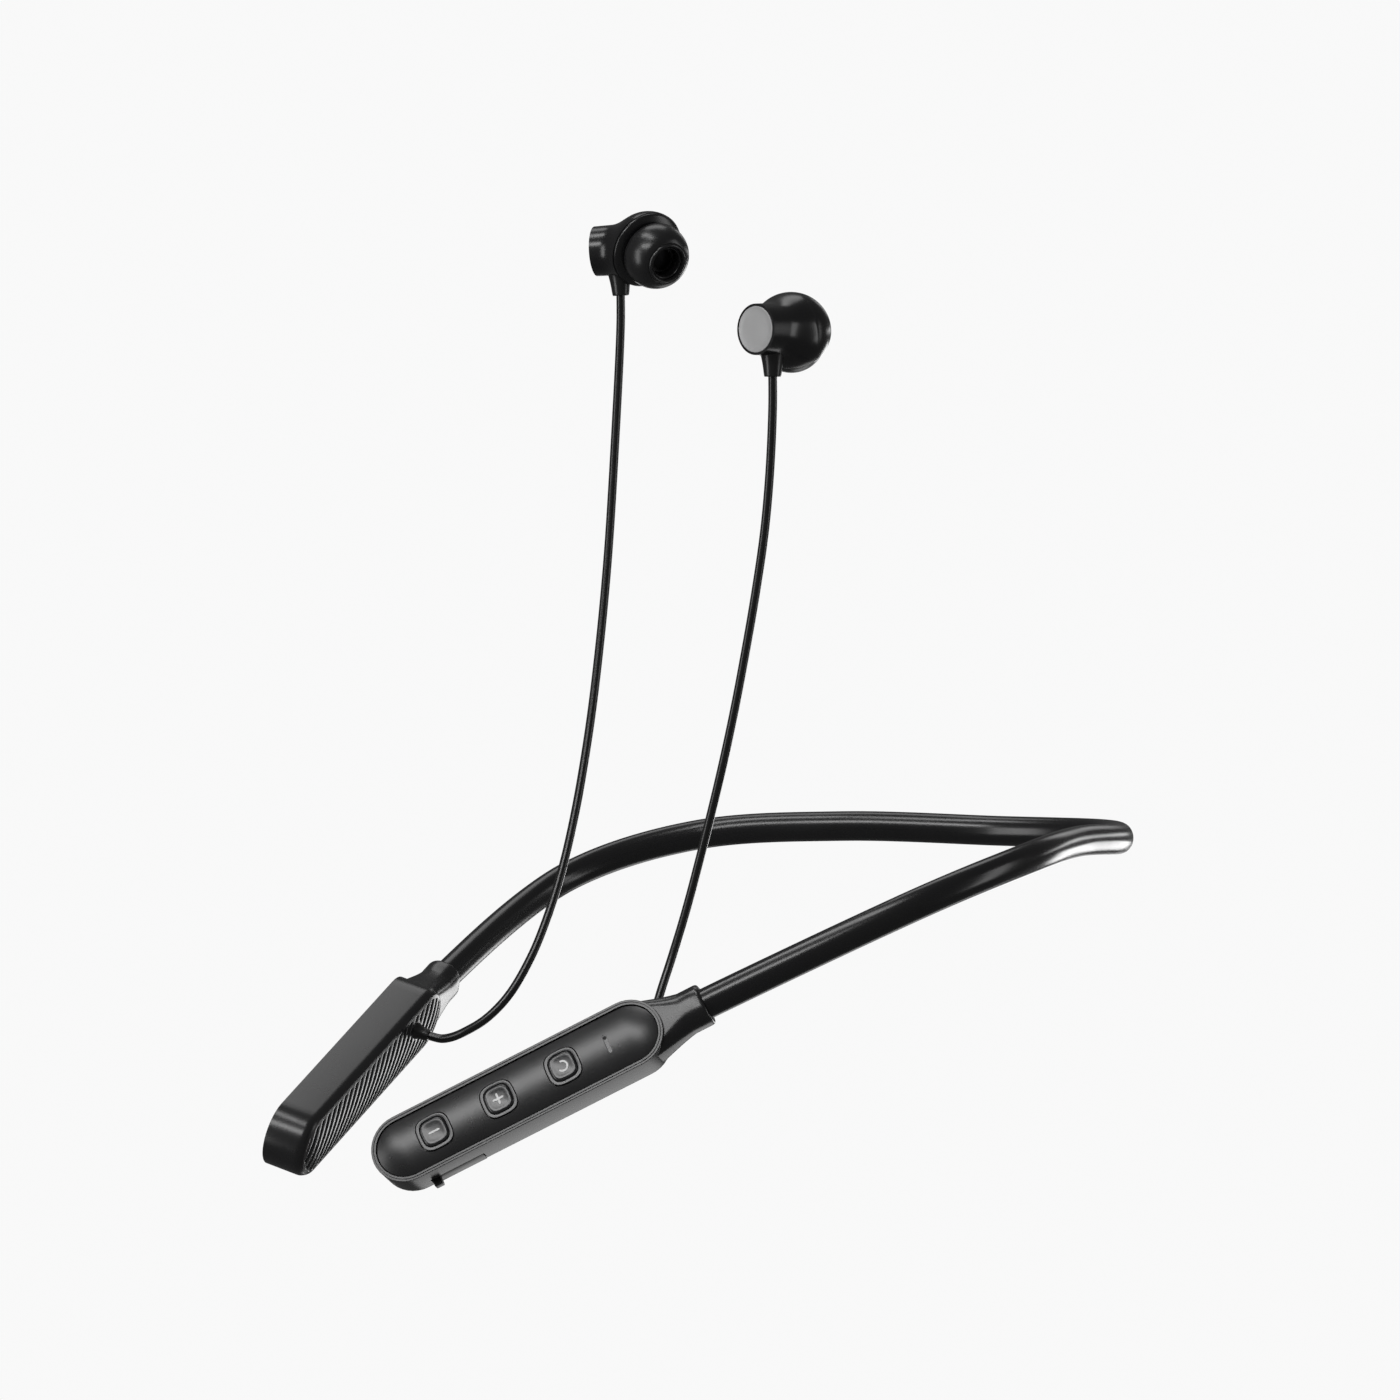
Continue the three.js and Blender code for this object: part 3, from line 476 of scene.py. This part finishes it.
def collar_section(x):
    """A rounded rectangle at x, sinking from the body's outline to the collar."""
    taper = float(np.clip((x - SHOULDER) / (COLLAR_START - SHOULDER), 0, 1))
    taper = 0.65 * taper + 0.35 * taper * taper * (3 - 2 * taper)
    width = HALF_WIDTH - 0.04 + (COLLAR_HALF_WIDTH - HALF_WIDTH) * taper
    top = RIM_TOP - 0.55 + (COLLAR_HALF_THICKNESS - RIM_TOP + 0.55) * taper
    low = COVER_EDGE_HEIGHT - 0.04 + (-COLLAR_HALF_THICKNESS - COVER_EDGE_HEIGHT + 0.04) * taper
    outer_edge = 0.9 + (COLLAR_EDGE - 0.9) * taper
    inner_edge = SKIN_EDGE + (COLLAR_EDGE - SKIN_EDGE) * taper
    loop = []
    for corner in range(4):
        edge = outer_edge if corner < 2 else inner_edge
        y = (width - edge) * (1 if corner in (0, 3) else -1)
        z = top - edge if corner < 2 else low + edge
        for i in range(12):
            angle = (corner + i / 11) * math.pi / 2
            loop.append((x, y + edge * math.cos(angle), z + edge * math.sin(angle)))
    return np.array(loop)


def shrink(loop, x, amount):
    """The loop moved to x and drawn in by an amount all round."""
    centre = loop.mean(0)
    spokes = loop - centre
    lengths = np.linalg.norm(spokes, axis=1, keepdims=True)
    moved = centre + spokes * (1 - amount / lengths)
    moved[:, 0] = x
    return moved


def cutter(loop, low, high):
    """A prism over a loop, between two heights."""
    bottom, top = loop.copy(), loop.copy()
    bottom[:, 2], top[:, 2] = low, high
    return skin([bottom, top])


def cut(piece, shapes, side):
    """Cuts holes of the given shapes through a piece."""
    for points, faces in shapes:
        mesh = bpy.data.meshes.new("cutter")
        mesh.from_pydata((on_pod(points, side) * MM).tolist(), [], faces)
        shade(mesh)
        tool = bpy.data.objects.new("cutter", mesh)
        bpy.context.scene.collection.objects.link(tool)
        modifier = piece.modifiers.new("cut", "BOOLEAN")
        modifier.operation = "DIFFERENCE"
        modifier.solver = "EXACT"
        modifier.object = tool
        apply_modifiers(piece)
        bpy.data.objects.remove(tool)


def apply_modifiers(piece):
    depsgraph = bpy.context.evaluated_depsgraph_get()
    mesh = bpy.data.meshes.new_from_object(piece.evaluated_get(depsgraph))
    piece.modifiers.clear()
    piece.data = mesh


def block(low, high):
    """A plain cutter between two corners."""
    (x0, y0, z0), (x1, y1, z1) = low, high
    outline = np.array([(x0, y0, 0), (x1, y0, 0), (x1, y1, 0), (x0, y1, 0)], float)
    return cutter(outline, z0, z1)


def port_cuts():
    """The port cover's seat in the lower wall, and the opening of the socket behind it."""
    reach = PORT_HALF_HEIGHT + SEAM
    seat = block((PORT_START - SEAM, PAST_WALL, PORT_HEIGHT - reach),
                 (PORT_END + SEAM, PORT_SEAT_BACK, PORT_HEIGHT + reach))
    return [seat, block(MOUTH_LOW, MOUTH_HIGH)]


def add_housing(side, node):
    body = SIDE_NAMES[side] + "_arm"
    loops = [stadium(inset, BODY_END - inset, HALF_WIDTH - inset, height)
             for inset, height in body_profile()]
    points, faces = skin(loops)
    shell = make_piece(node + "_body", on_pod(points, side), faces, SHELL, body, [node])
    if side == LEFT:
        cut(shell, port_cuts(), side)
        shade(shell.data)

    stations = [SHOULDER - 2, *np.arange(SHOULDER, COLLAR_START, COLLAR_STEP), COLLAR_START, 66.4, 67.9]
    loops = [collar_section(x) for x in stations]
    last = loops[-1]
    for x, amount in COLLAR_LIP:
        loops.append(shrink(last, x, amount))
    for x, radius in BORE_RINGS:
        spokes = last[:, 1:] / np.linalg.norm(last[:, 1:], axis=1, keepdims=True)
        loops.append(np.column_stack([np.full(len(last), x), spokes * radius]))
    points, faces = skin(loops)
    collar = make_piece(node + "_collar", on_pod(points, side), faces, SHELL, body)
    seat = stadium(SEAT_INSET, BODY_END - SEAT_INSET, HALF_WIDTH - SEAT_INSET, 0)
    cut(collar, [cutter(seat, -6, SEAT_HEIGHT)], side)
    shade(collar.data)


add_housing(LEFT, "control_housing")
add_housing(RIGHT, "battery_housing")

# ---- outer panels and controls ------------------------------------------------------------

PANEL_EDGE_INSET = 1.0
PANEL_EDGE_HEIGHT = 4.1
PANEL_CROWN = 0.8
BUTTON_HALF = 3.32
BUTTON_GAP = 0.14
HOLE_LOW, HOLE_HIGH = 2.9, 6  # cutters run right through the panel
SLOT_AT, SLOT_HALF_LENGTH, SLOT_HALF_WIDTH = 49.2, 1.9, 0.42
WINDOW_GAP = 0.05
MICROPHONE_AT = 1.3


def panel_height(inset):
    share = np.clip((inset - PANEL_EDGE_INSET) / (HALF_WIDTH - PANEL_EDGE_INSET), 0, 1)
    return PANEL_EDGE_HEIGHT + PANEL_CROWN * (1 - (1 - share) ** 2)


def panel_mesh():
    insets = [PANEL_EDGE_INSET + 0.12, *np.linspace(1.3, 6.2, 15), 6.5, 6.585]
    profile = [(1.6, 3.1), (PANEL_EDGE_INSET, 3.1), (PANEL_EDGE_INSET, PANEL_EDGE_HEIGHT - 0.22)]
    profile += [(inset, panel_height(inset)) for inset in insets]
    loops = [stadium(inset, BODY_END - inset, HALF_WIDTH - inset, height, straight=90, arc=24)
             for inset, height in profile]
    return skin(loops)


def button_mesh(at):
    size = BUTTON_HALF
    top = PANEL_EDGE_HEIGHT + PANEL_CROWN
    rings = [(size - 0.3, 2.75), (size, 2.75), (size, top - 0.42)]
    rings += round_corner((size, top - 0.16), (size, top - 0.06), (size - 0.08, top - 0.05), 3)
    rings += [(size - 0.12, top - 0.05), (size - 0.54, top - 0.03)]
    rings += round_corner((size - 0.58, top - 0.04), (size - 0.68, top - 0.3), (size - 0.72, top - 0.2), 4)
    rings += round_corner((size - 0.74, top - 0.12), (size - 0.76, top + 0.24), (size - 1.25, top + 0.25), 7)
    rings += [(1.7, top + 0.2), (1.2, top + 0.16), (0.6, top + 0.14), (0.02, top + 0.13)]
    return skin([squircle(at, half, height) for half, height in rings])


def bar(centre, along, across, height, thickness=0.07):
    """A low raised bar with rounded ends on a button."""
    outline = []
    for i in range(24):
        angle = i / 24 * 2 * math.pi
        outline.append((centre[0] + along * np.sign(math.cos(angle)) * abs(math.cos(angle)) ** 0.4,
                        centre[1] + across * np.sign(math.sin(angle)) * abs(math.sin(angle)) ** 0.4))
    outline = np.array(outline)
    low = np.column_stack([outline, np.full(24, height - 0.1)])
    high = np.column_stack([outline, np.full(24, height + thickness)])
    return skin([low, high])


def open_ring(centre_x, radius, width, height, start, end, thickness=0.07):
    """A raised arc on a button."""
    loops = []
    for angle in np.linspace(start, end, 28):
        out = np.array([math.cos(angle), math.sin(angle)])
        inner, outer = (radius - width / 2) * out, (radius + width / 2) * out
        loops.append(np.array([
            (centre_x + inner[0], inner[1], height - 0.1), (centre_x + outer[0], outer[1], height - 0.1),
            (centre_x + outer[0], outer[1], height + thickness),
            (centre_x + inner[0], inner[1], height + thickness),
        ]))
    return skin(loops)


SYMBOL_HEIGHT = PANEL_EDGE_HEIGHT + PANEL_CROWN + 0.16
SYMBOL_HALF = 1.12
SYMBOL_HALF_WIDTH = 0.19
SYMBOL_LIFT = 0.004  # keeps the plus sign's crossing bars from sharing a face


def add_symbol(name, meshes, body):
    for i, (points, faces) in enumerate(meshes):
        make_piece(f"{name}_symbol_{i}", on_pod(points, LEFT), faces, SYMBOL, body)


def slot_loop(at, half_length, half_width):
    loop = []
    for centre, turn in ((half_length - half_width, 0), (half_width - half_length, math.pi)):
        for i in range(9):
            angle = turn + i / 8 * math.pi
            loop.append((at + half_width * math.cos(angle), centre + half_width * math.sin(angle), 0))
    return np.array(loop)


def add_controls():
    points, faces = panel_mesh()
    panel = make_piece("control_panel_skin", on_pod(points, LEFT), faces, PANEL,
                       "left_arm", ["control_panel"])
    holes = [cutter(squircle(at, BUTTON_HALF + BUTTON_GAP, 0), HOLE_LOW, HOLE_HIGH)
             for at in (MINUS_AT, PLUS_AT, FUNCTION_AT)]
    holes.append(cutter(slot_loop(SLOT_AT, SLOT_HALF_LENGTH, SLOT_HALF_WIDTH), HOLE_LOW, HOLE_HIGH))
    cut(panel, holes, LEFT)
    shade(panel.data)
    for name, at in (("minus", MINUS_AT), ("plus", PLUS_AT), ("function", FUNCTION_AT)):
        points, faces = button_mesh(at)
        node = name + "_button"
        make_piece(node + "_cap", on_pod(points, LEFT), faces, BUTTON, node, [node])
    add_symbol("minus", [bar((MINUS_AT, 0), SYMBOL_HALF, SYMBOL_HALF_WIDTH, SYMBOL_HEIGHT)], "minus_button")
    level = bar((PLUS_AT, 0), SYMBOL_HALF, SYMBOL_HALF_WIDTH, SYMBOL_HEIGHT)
    upright = bar((PLUS_AT, 0), SYMBOL_HALF_WIDTH, SYMBOL_HALF, SYMBOL_HEIGHT + SYMBOL_LIFT)
    add_symbol("plus", [level, upright], "plus_button")
    add_symbol("function", [open_ring(FUNCTION_AT, 0.95, 0.36, SYMBOL_HEIGHT,
                                      math.radians(-150), math.radians(100))], "function_button")
    # A window fills the slot, with a dark plug near its upper end that is painted shade standing in for the
    # microphone's hole.
    window = slot_loop(SLOT_AT, SLOT_HALF_LENGTH - WINDOW_GAP, SLOT_HALF_WIDTH - WINDOW_GAP)
    points, faces = cutter(window, 3.2, PANEL_EDGE_HEIGHT + PANEL_CROWN - 0.2)
    make_piece("led_window", on_pod(points, LEFT), faces, BUTTON, "left_arm")
    points, faces = turned([(0, 4.2), (0.34, 4.2), (0.36, 4.74), (0, 4.74)], 24)
    make_piece("microphone_hole_painted_shade", on_pod(points + [SLOT_AT, MICROPHONE_AT, 0], LEFT), faces, BLACK_AND_HOLE_SHADE,
               "left_arm")


add_controls()
panel_points, panel_faces = panel_mesh()
make_piece("battery_panel_skin", on_pod(panel_points, RIGHT), panel_faces, PANEL,
           "right_arm", ["battery_panel"])

# ---- ribbed inner covers ------------------------------------------------------------------

RIB_PITCH = 2.33
RIB_SLANT = 0.68
GROOVE_DEPTH = 0.62
GROOVE_HALF_WIDTH = 0.44
COVER_CROWN = 0.72
COVER_BACK = -3.15
HOOK_LENGTH, HOOK_REACH = 0.55, 0.8  # each rib's ends turn along the pod near the border
BORDER, BORDER_FADE = 0.55, 0.45  # plain border round the ribs
CLEARING, CLEARING_FADE = 1.9, 0.5  # plain ring round the cord's grommet
COLUMN_STEP, END_COLUMNS, COVER_ROWS = 0.14, 44, 58


def cover_surface(x, y):
    """Height of the crowned, grooved cover at points of the pod's frame."""
    reach = HALF_WIDTH - COVER_INSET
    left, right = COVER_INSET + reach, BODY_END - COVER_INSET - reach
    nearest = np.clip(x, left, right)
    inset = reach - np.hypot(x - nearest, y)
    share = np.clip(inset / reach, 0, 1)
    crown = COVER_CROWN * (1 - (1 - share) ** 2.2)
    hook = HOOK_LENGTH * np.exp(-np.clip(inset, 0, None) / HOOK_REACH)
    phase = (x - RIB_SLANT * y - hook * np.sign(y)) / RIB_PITCH
    distance = np.abs((phase + 0.5) % 1 - 0.5) * RIB_PITCH
    groove = np.exp(-(distance / GROOVE_HALF_WIDTH) ** 4)
    fade = np.clip((inset - BORDER) / BORDER_FADE, 0, 1)
    fade = fade * fade * (3 - 2 * fade)
    hole = np.hypot(x - EXIT_AT, y - EXIT_RISE)
    fade = fade * np.clip((hole - CLEARING) / CLEARING_FADE, 0, 1)
    return COVER_EDGE_HEIGHT - crown + GROOVE_DEPTH * groove * fade


def add_cover(side, node):
    start, end = COVER_INSET, BODY_END - COVER_INSET
    reach = HALF_WIDTH - COVER_INSET
    columns = np.concatenate([
        start + reach * (1 - np.cos(np.linspace(0.04, math.pi / 2, END_COLUMNS))),
        np.arange(start + reach + COLUMN_STEP, end - reach, COLUMN_STEP),
        end - reach * (1 - np.cos(np.linspace(math.pi / 2, 0.04, END_COLUMNS))),
    ])
    across = COVER_ROWS
    loops = []
    for x in columns:
        nearest = np.clip(x, start + reach, end - reach)
        half = math.sqrt(max(reach**2 - (x - nearest) ** 2, 1e-4))
        y = half * np.sin(np.linspace(-math.pi / 2, math.pi / 2, across))
        face = np.column_stack([np.full(across, x), y, cover_surface(np.full(across, x), y)])
        back = np.array([(x, half, COVER_BACK), (x, -half, COVER_BACK)])
        loops.append(np.vstack([face, back]))
    points, faces = skin(loops)
    make_piece(node + "_ribs", on_pod(points, side), faces, RIBBED,
               SIDE_NAMES[side] + "_arm", [node], angle=math.radians(50))


add_cover(LEFT, "control_inner_cover")
add_cover(RIGHT, "battery_inner_cover")


def add_grommet(side):
    name = SIDE_NAMES[side]
    profile = [(0, GROMMET_END), (1.0, GROMMET_END)]
    profile += round_corner((1.02, GROMMET_END), (1.12, GROMMET_END + 0.02), (1.13, GROMMET_END + 0.15), 3)
    profile += [(1.2, -6.2), (1.32, -5.3), (1.55, -4.75), (1.7, -4.5), (1.72, -3.4), (0, -3.4)]
    points, faces = turned(profile, 40)
    make_piece(name + "_grommet_skin", on_pod(points + [EXIT_AT, EXIT_RISE, 0], side), faces, RUBBER,
               name + "_arm", [name + "_grommet"])


add_grommet(LEFT)
add_grommet(RIGHT)

# ---- port cover ---------------------------------------------------------------------------


def rounded_box(low, high, edge, levels=3):
    """A box with rounded edges, from two corners."""
    shaped = bmesh.new()
    bmesh.ops.create_cube(shaped, size=1)
    low, high = np.array(low, float), np.array(high, float)
    for vertex in shaped.verts:
        vertex.co = Vector((low + high) / 2 + np.array(vertex.co) * (high - low))
    bmesh.ops.bevel(shaped, geom=shaped.edges[:], offset=edge, segments=levels, profile=0.5, affect="EDGES")
    shaped.verts.ensure_lookup_table()
    points = np.array([vertex.co for vertex in shaped.verts])
    faces = [[vertex.index for vertex in face.verts] for face in shaped.faces]
    shaped.free()
    return points, faces


def add_port_cover():
    parts = {
        "port_cover_skin": ((PORT_START, -HALF_WIDTH + 0.08, PORT_HEIGHT - PORT_HALF_HEIGHT),
                            (PORT_END, -5.75, PORT_HEIGHT + PORT_HALF_HEIGHT), 0.25),
        "port_cover_tab": ((PORT_START + 0.02, -HALF_WIDTH - 1.15, PORT_HEIGHT - 0.9),
                           (PORT_START + 1.7, -6.2, PORT_HEIGHT + 0.9), 0.2),
        "port_cover_plug": ((10.3, -5.95, PORT_HEIGHT - 0.8), (16.7, -5.15, PORT_HEIGHT + 0.8), 0.3),
    }
    for name, (low, high, edge) in parts.items():
        points, faces = rounded_box(low, high, edge)
        piece = make_piece(name, on_pod(points, LEFT), faces, RUBBER, "port_cover")
        if name == "port_cover_skin":
            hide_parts("port_cover")


add_port_cover()

# ---- earbuds ------------------------------------------------------------------------------

BARREL_RADIUS, BARREL_REAR_RADIUS = 5.0, 4.85
FLANGE_RADIUS = 7.6
FLANGE_AT = 1.5  # where the bulb is widest, along the nozzle from its frame's origin
DOME_DEPTH = 6.6
FILLET = 2.0
BARREL_END = 9.0  # where the barrel ends inside the bulb
CAST_FROM = 7.2  # the point inside the bud that its skin is cast from
CAST_REACH = 16.0


def bud_field(points):
    """Signed distance, roughly, to the barrel joined with a fillet to the dome behind the flange."""
    along = points[:, 1]
    radius = BARREL_REAR_RADIUS + (BARREL_RADIUS - BARREL_REAR_RADIUS) * np.clip(along / 5, 0, 1)
    barrel = np.maximum(np.hypot(points[:, 0], points[:, 2]) - radius, along - BARREL_END)
    from_flange = points - BUD_NOZZLE_AT - FLANGE_AT * NOZZLE_AXIS
    height = from_flange @ NOZZLE_AXIS
    spokes = from_flange - np.outer(height, NOZZLE_AXIS)
    reach = np.linalg.norm(spokes, axis=1)
    back = np.clip(-height, 0, None)
    dome = (np.hypot(reach / FLANGE_RADIUS, back / DOME_DEPTH) - 1) * DOME_DEPTH
    blend = np.clip(0.5 + 0.5 * (dome - barrel) / FILLET, 0, 1)
    joined = dome * (1 - blend) + barrel * blend - FILLET * blend * (1 - blend)
    return np.maximum(joined, -along)


def rear_housing():
    """The field's surface as rings of points, cast from a point on the barrel's axis."""
    centre = np.array([0, CAST_FROM, 0])
    rim = math.atan2(BARREL_REAR_RADIUS, centre[1])
    polar = np.concatenate([
        np.linspace(0.02, rim - 0.02, 8), [rim - 0.008, rim, rim + 0.008],
        np.linspace(rim + 0.02, math.pi - 0.02, 90),
    ])
    around = np.arange(112) / 112 * 2 * math.pi
    loops = []
    for angle in polar:
        rays = np.column_stack([math.sin(angle) * np.cos(around),
                                np.full(len(around), -math.cos(angle)),
                                math.sin(angle) * np.sin(around)])
        low, high = np.zeros(len(around)), np.full(len(around), CAST_REACH)
        for _ in range(36):
            half = (low + high) / 2
            outside = bud_field(centre + rays * half[:, None]) > 0
            high = np.where(outside, half, high)
            low = np.where(outside, low, half)
        loops.append(centre + rays * low[:, None])
    return skin(loops)


def add_rear_housing(side):
    """The cast skin, cut off flat where the bulb is widest."""
    name = SIDE_NAMES[side]
    points, faces = rear_housing()
    shaped = bmesh.new()
    verts = [shaped.verts.new(point) for point in points]
    for face in faces:
        shaped.faces.new([verts[i] for i in face])
    geometry = shaped.verts[:] + shaped.edges[:] + shaped.faces[:]
    cut_edges = bmesh.ops.bisect_plane(
        shaped, geom=geometry, plane_co=Vector(BUD_NOZZLE_AT + FLANGE_AT * NOZZLE_AXIS),
        plane_no=Vector(NOZZLE_AXIS), clear_outer=True)["geom_cut"]
    bmesh.ops.edgeloop_fill(shaped, edges=[e for e in cut_edges if isinstance(e, bmesh.types.BMEdge)])
    shaped.verts.index_update()
    points = np.array([vertex.co for vertex in shaped.verts])
    faces = [[vertex.index for vertex in face.verts] for face in shaped.faces]
    shaped.free()
    make_piece(name + "_rear_shell", on_bud(points, side), faces, GLOSS, name + "_bud",
               [name + "_rear_housing"])


def facing_back(points):
    """A solid turned about Z, laid along the bud's barrel."""
    return points[:, [0, 2, 1]] * [1, 1, -1]


def add_turned(name, profile, material, body, place, nodes=(), segments=72):
    points, faces = turned(profile, segments)
    return make_piece(name, place(points), faces, material, body, nodes)


def add_bud(side):
    name = SIDE_NAMES[side]
    body = name + "_bud"
    add_rear_housing(side)

    def rear(points):
        return on_bud(facing_back(points), side)

    def front(points):
        return on_nozzle(points, side)

    disc = [(0, 0.9), (4.38, 0.9), (4.38, 0.05)] + round_corner((4.38, 0), (4.38, -0.12), (4.22, -0.14), 3)
    disc += [(4.1, -0.1), (3.0, -0.085), (1.5, -0.085), (0, -0.085)]
    add_turned(name + "_disc_plate", disc, DISC, body, rear, [name + "_end_disc"])

    edge = FLANGE_RADIUS - 0.2
    front_profile = [(0, FLANGE_AT + 0.02), (edge, FLANGE_AT + 0.02)]
    front_profile += round_corner((edge + 0.08, FLANGE_AT + 0.06), (edge + 0.14, FLANGE_AT + 0.3),
                                  (edge, FLANGE_AT + 0.5), 4)
    front_profile += round_corner((edge - 0.1, FLANGE_AT + 0.6), (edge - 0.7, FLANGE_AT + 1.0),
                                  (5.4, FLANGE_AT + 1.2), 5)
    front_profile += [(4.2, FLANGE_AT + 1.3)]
    front_profile += round_corner((3.3, FLANGE_AT + 1.35), (2.7, FLANGE_AT + 1.4), (2.62, FLANGE_AT + 2), 4)
    front_profile += [(2.6, 7.2), (2.5, 7.4), (2.2, 7.4), (2.1, 7.2), (2.05, 6.6), (0, 6.6)]
    add_turned(name + "_front_shell", front_profile, GLOSS, body, front,
               [name + "_front_housing"])

    wires = [(0, 6.62), (1.98, 6.62), (1.98, 6.78), (1.2, 6.86), (0, 6.9)]
    add_turned(name + "_nozzle_gauze", wires, MESH, body, front, [name + "_nozzle_mesh"])

    stem = [(0, STEM_BOTTOM), (1.42, STEM_BOTTOM)]
    stem += round_corner((1.45, STEM_BOTTOM), (1.6, STEM_BOTTOM + 0.02), (1.62, STEM_BOTTOM + 0.22), 3)
    stem += [(1.7, -8.2), (1.82, -7.2), (1.98, -6.2), (2.12, -5.5), (2.25, -4.9), (2.45, -4.2), (0, -4.0)]
    points, faces = turned(stem, 48)
    make_piece(name + "_stem", on_bud(points + [0, STEM_AT, 0], side), faces, RUBBER,
               body, [name + "_strain_relief"])

    points, faces = turned(ear_tip_profile(), 96)
    make_piece(name + "_ear_tip_skin", front(points), faces, TIP,
               name + "_ear_tip", [name + "_ear_tip"])


def ear_tip_profile():
    """A mushroom tip: a soft skirt that hangs from a domed mouth round an inner sleeve."""
    outside = [(6.2, 3.45), (6.42, 4.4), (6.46, 5.3), (6.35, 6.3), (6.05, 7.3), (5.6, 8.2),
               (5.0, 8.95), (4.35, 9.4)]
    mouth = [(4.12, 9.45), (4.05, 9.42)] + round_corner((4.0, 9.6), (3.85, 9.95), (3.5, 9.8), 5)
    mouth += [(3.42, 9.4), (3.36, 9.1), (3.25, 9.1)] + round_corner((3.2, 9.2), (3.05, 9.45), (2.9, 9.2), 4)
    sleeve = [(2.87, 8.8), (2.85, 7.6), (2.85, 3.5), (3.4, 3.45), (3.5, 4.5), (3.5, 7.8)]
    inside = [(4.0, 8.3), (4.8, 7.7), (5.4, 6.9), (5.72, 6.0), (5.84, 5.0), (5.76, 4.0), (5.66, 3.5)]
    hem = round_corner((5.7, 3.42), (5.95, 3.2), (6.18, 3.4), 3)
    dense = spline([(r, z, 0) for r, z in outside], 4)[:, :2]
    return [tuple(p) for p in dense] + mouth + sleeve + inside + hem + [tuple(dense[0])]


add_bud(LEFT)
add_bud(RIGHT)

# ---- floor and light ----------------------------------------------------------------------

FLOOR_M = -0.16
FLOOR_RADIUS_M = 60
FLOOR_GREY = 0.5
BACKGROUND = 0.945  # how bright the floor and the world look to the camera
WORLD_LIGHT = 0.1
WATTS_PER_RADIANCE = 4  # for one square metre
LIGHT_AIM_M = (0, -0.09, 0)
LIGHT_DISTANCE_M = 1.6


def split_by_ray(tree, seen, lit, output):
    """The camera meets the bright shader, and the object is lit by the other one."""
    path = tree.nodes.new("ShaderNodeLightPath")
    mix = tree.nodes.new("ShaderNodeMixShader")
    tree.links.new(path.outputs["Is Camera Ray"], mix.inputs["Fac"])
    tree.links.new(lit.outputs[0], mix.inputs[1])
    tree.links.new(seen.outputs[0], mix.inputs[2])
    tree.links.new(mix.outputs["Shader"], output.inputs["Surface"])


def add_floor():
    shaped = bmesh.new()
    bmesh.ops.create_circle(shaped, cap_ends=True, radius=FLOOR_RADIUS_M, segments=96)
    mesh = bpy.data.meshes.new("floor")
    shaped.to_mesh(mesh)
    shaped.free()
    floor = bpy.data.objects.new("floor", mesh)
    floor.location.z = FLOOR_M
    bpy.context.scene.collection.objects.link(floor)
    material = bpy.data.materials.new("floor_pale")
    material.use_nodes = True
    nodes = material.node_tree.nodes
    lit = nodes["Principled BSDF"]
    lit.inputs["Base Color"].default_value = (FLOOR_GREY, FLOOR_GREY, FLOOR_GREY, 1)
    lit.inputs["Roughness"].default_value = 0.9
    seen = nodes.new("ShaderNodeEmission")
    seen.inputs["Strength"].default_value = BACKGROUND
    split_by_ray(material.node_tree, seen, lit, nodes["Material Output"])
    mesh.materials.append(material)
    floor.visible_glossy = False
    floor.visible_shadow = False


def add_softbox(name, azimuth, elevation, width, height, radiance):
    """A rectangular light at a compass angle from +X and a height angle, in degrees, facing the object."""
    light = bpy.data.lights.new(name, "AREA")
    light.shape = "RECTANGLE"
    light.size, light.size_y = width, height
    light.energy = radiance * width * height * WATTS_PER_RADIANCE
    lamp = bpy.data.objects.new(name, light)
    azimuth, elevation = math.radians(azimuth), math.radians(elevation)
    level = math.cos(elevation)
    out = Vector((level * math.cos(azimuth), level * math.sin(azimuth), math.sin(elevation)))
    lamp.location = Vector(LIGHT_AIM_M) + out * LIGHT_DISTANCE_M
    lamp.rotation_euler = out.to_track_quat("Z", "Y").to_euler()
    lamp.visible_camera = False
    bpy.context.scene.collection.objects.link(lamp)


def add_world():
    world = bpy.data.worlds.new("studio")
    bpy.context.scene.world = world
    world.use_nodes = True
    nodes = world.node_tree.nodes
    nodes.clear()
    seen = nodes.new("ShaderNodeBackground")
    seen.inputs["Color"].default_value = (1, 1, 1, 1)
    seen.inputs["Strength"].default_value = BACKGROUND
    lit = nodes.new("ShaderNodeBackground")
    lit.inputs["Color"].default_value = (1, 1, 1, 1)
    lit.inputs["Strength"].default_value = WORLD_LIGHT
    split_by_ray(world.node_tree, seen, lit, nodes.new("ShaderNodeOutputWorld"))


# name: azimuth, elevation, width and height in metres, radiance
SOFTBOXES = {
    "key": (-62, 33, 1.0, 0.32, 7.0),
    "top": (155, 62, 0.9, 0.6, 1.5),
    "overhead": (-85, 67, 1.3, 0.3, 5.0),
    "backdrop": (152, -9, 0.7, 0.3, 0.9),
    "arm_line": (106, 6, 1.1, 0.12, 2.2),
    "arm_upper": (130, 23, 0.3, 0.5, 0.8),
    "rib_side": (119, -12, 0.55, 0.4, 3.6),
    "under_back": (129, -40, 0.7, 0.6, 1.1),
    "left_strip": (-92, 0, 0.5, 1.2, 3.2),
    "right_strip": (50, 5, 0.4, 1.2, 2.0),
}

bpy.context.scene.view_settings.view_transform = "Standard"
add_floor()
add_world()
for light_name, setting in SOFTBOXES.items():
    add_softbox(light_name, *setting)
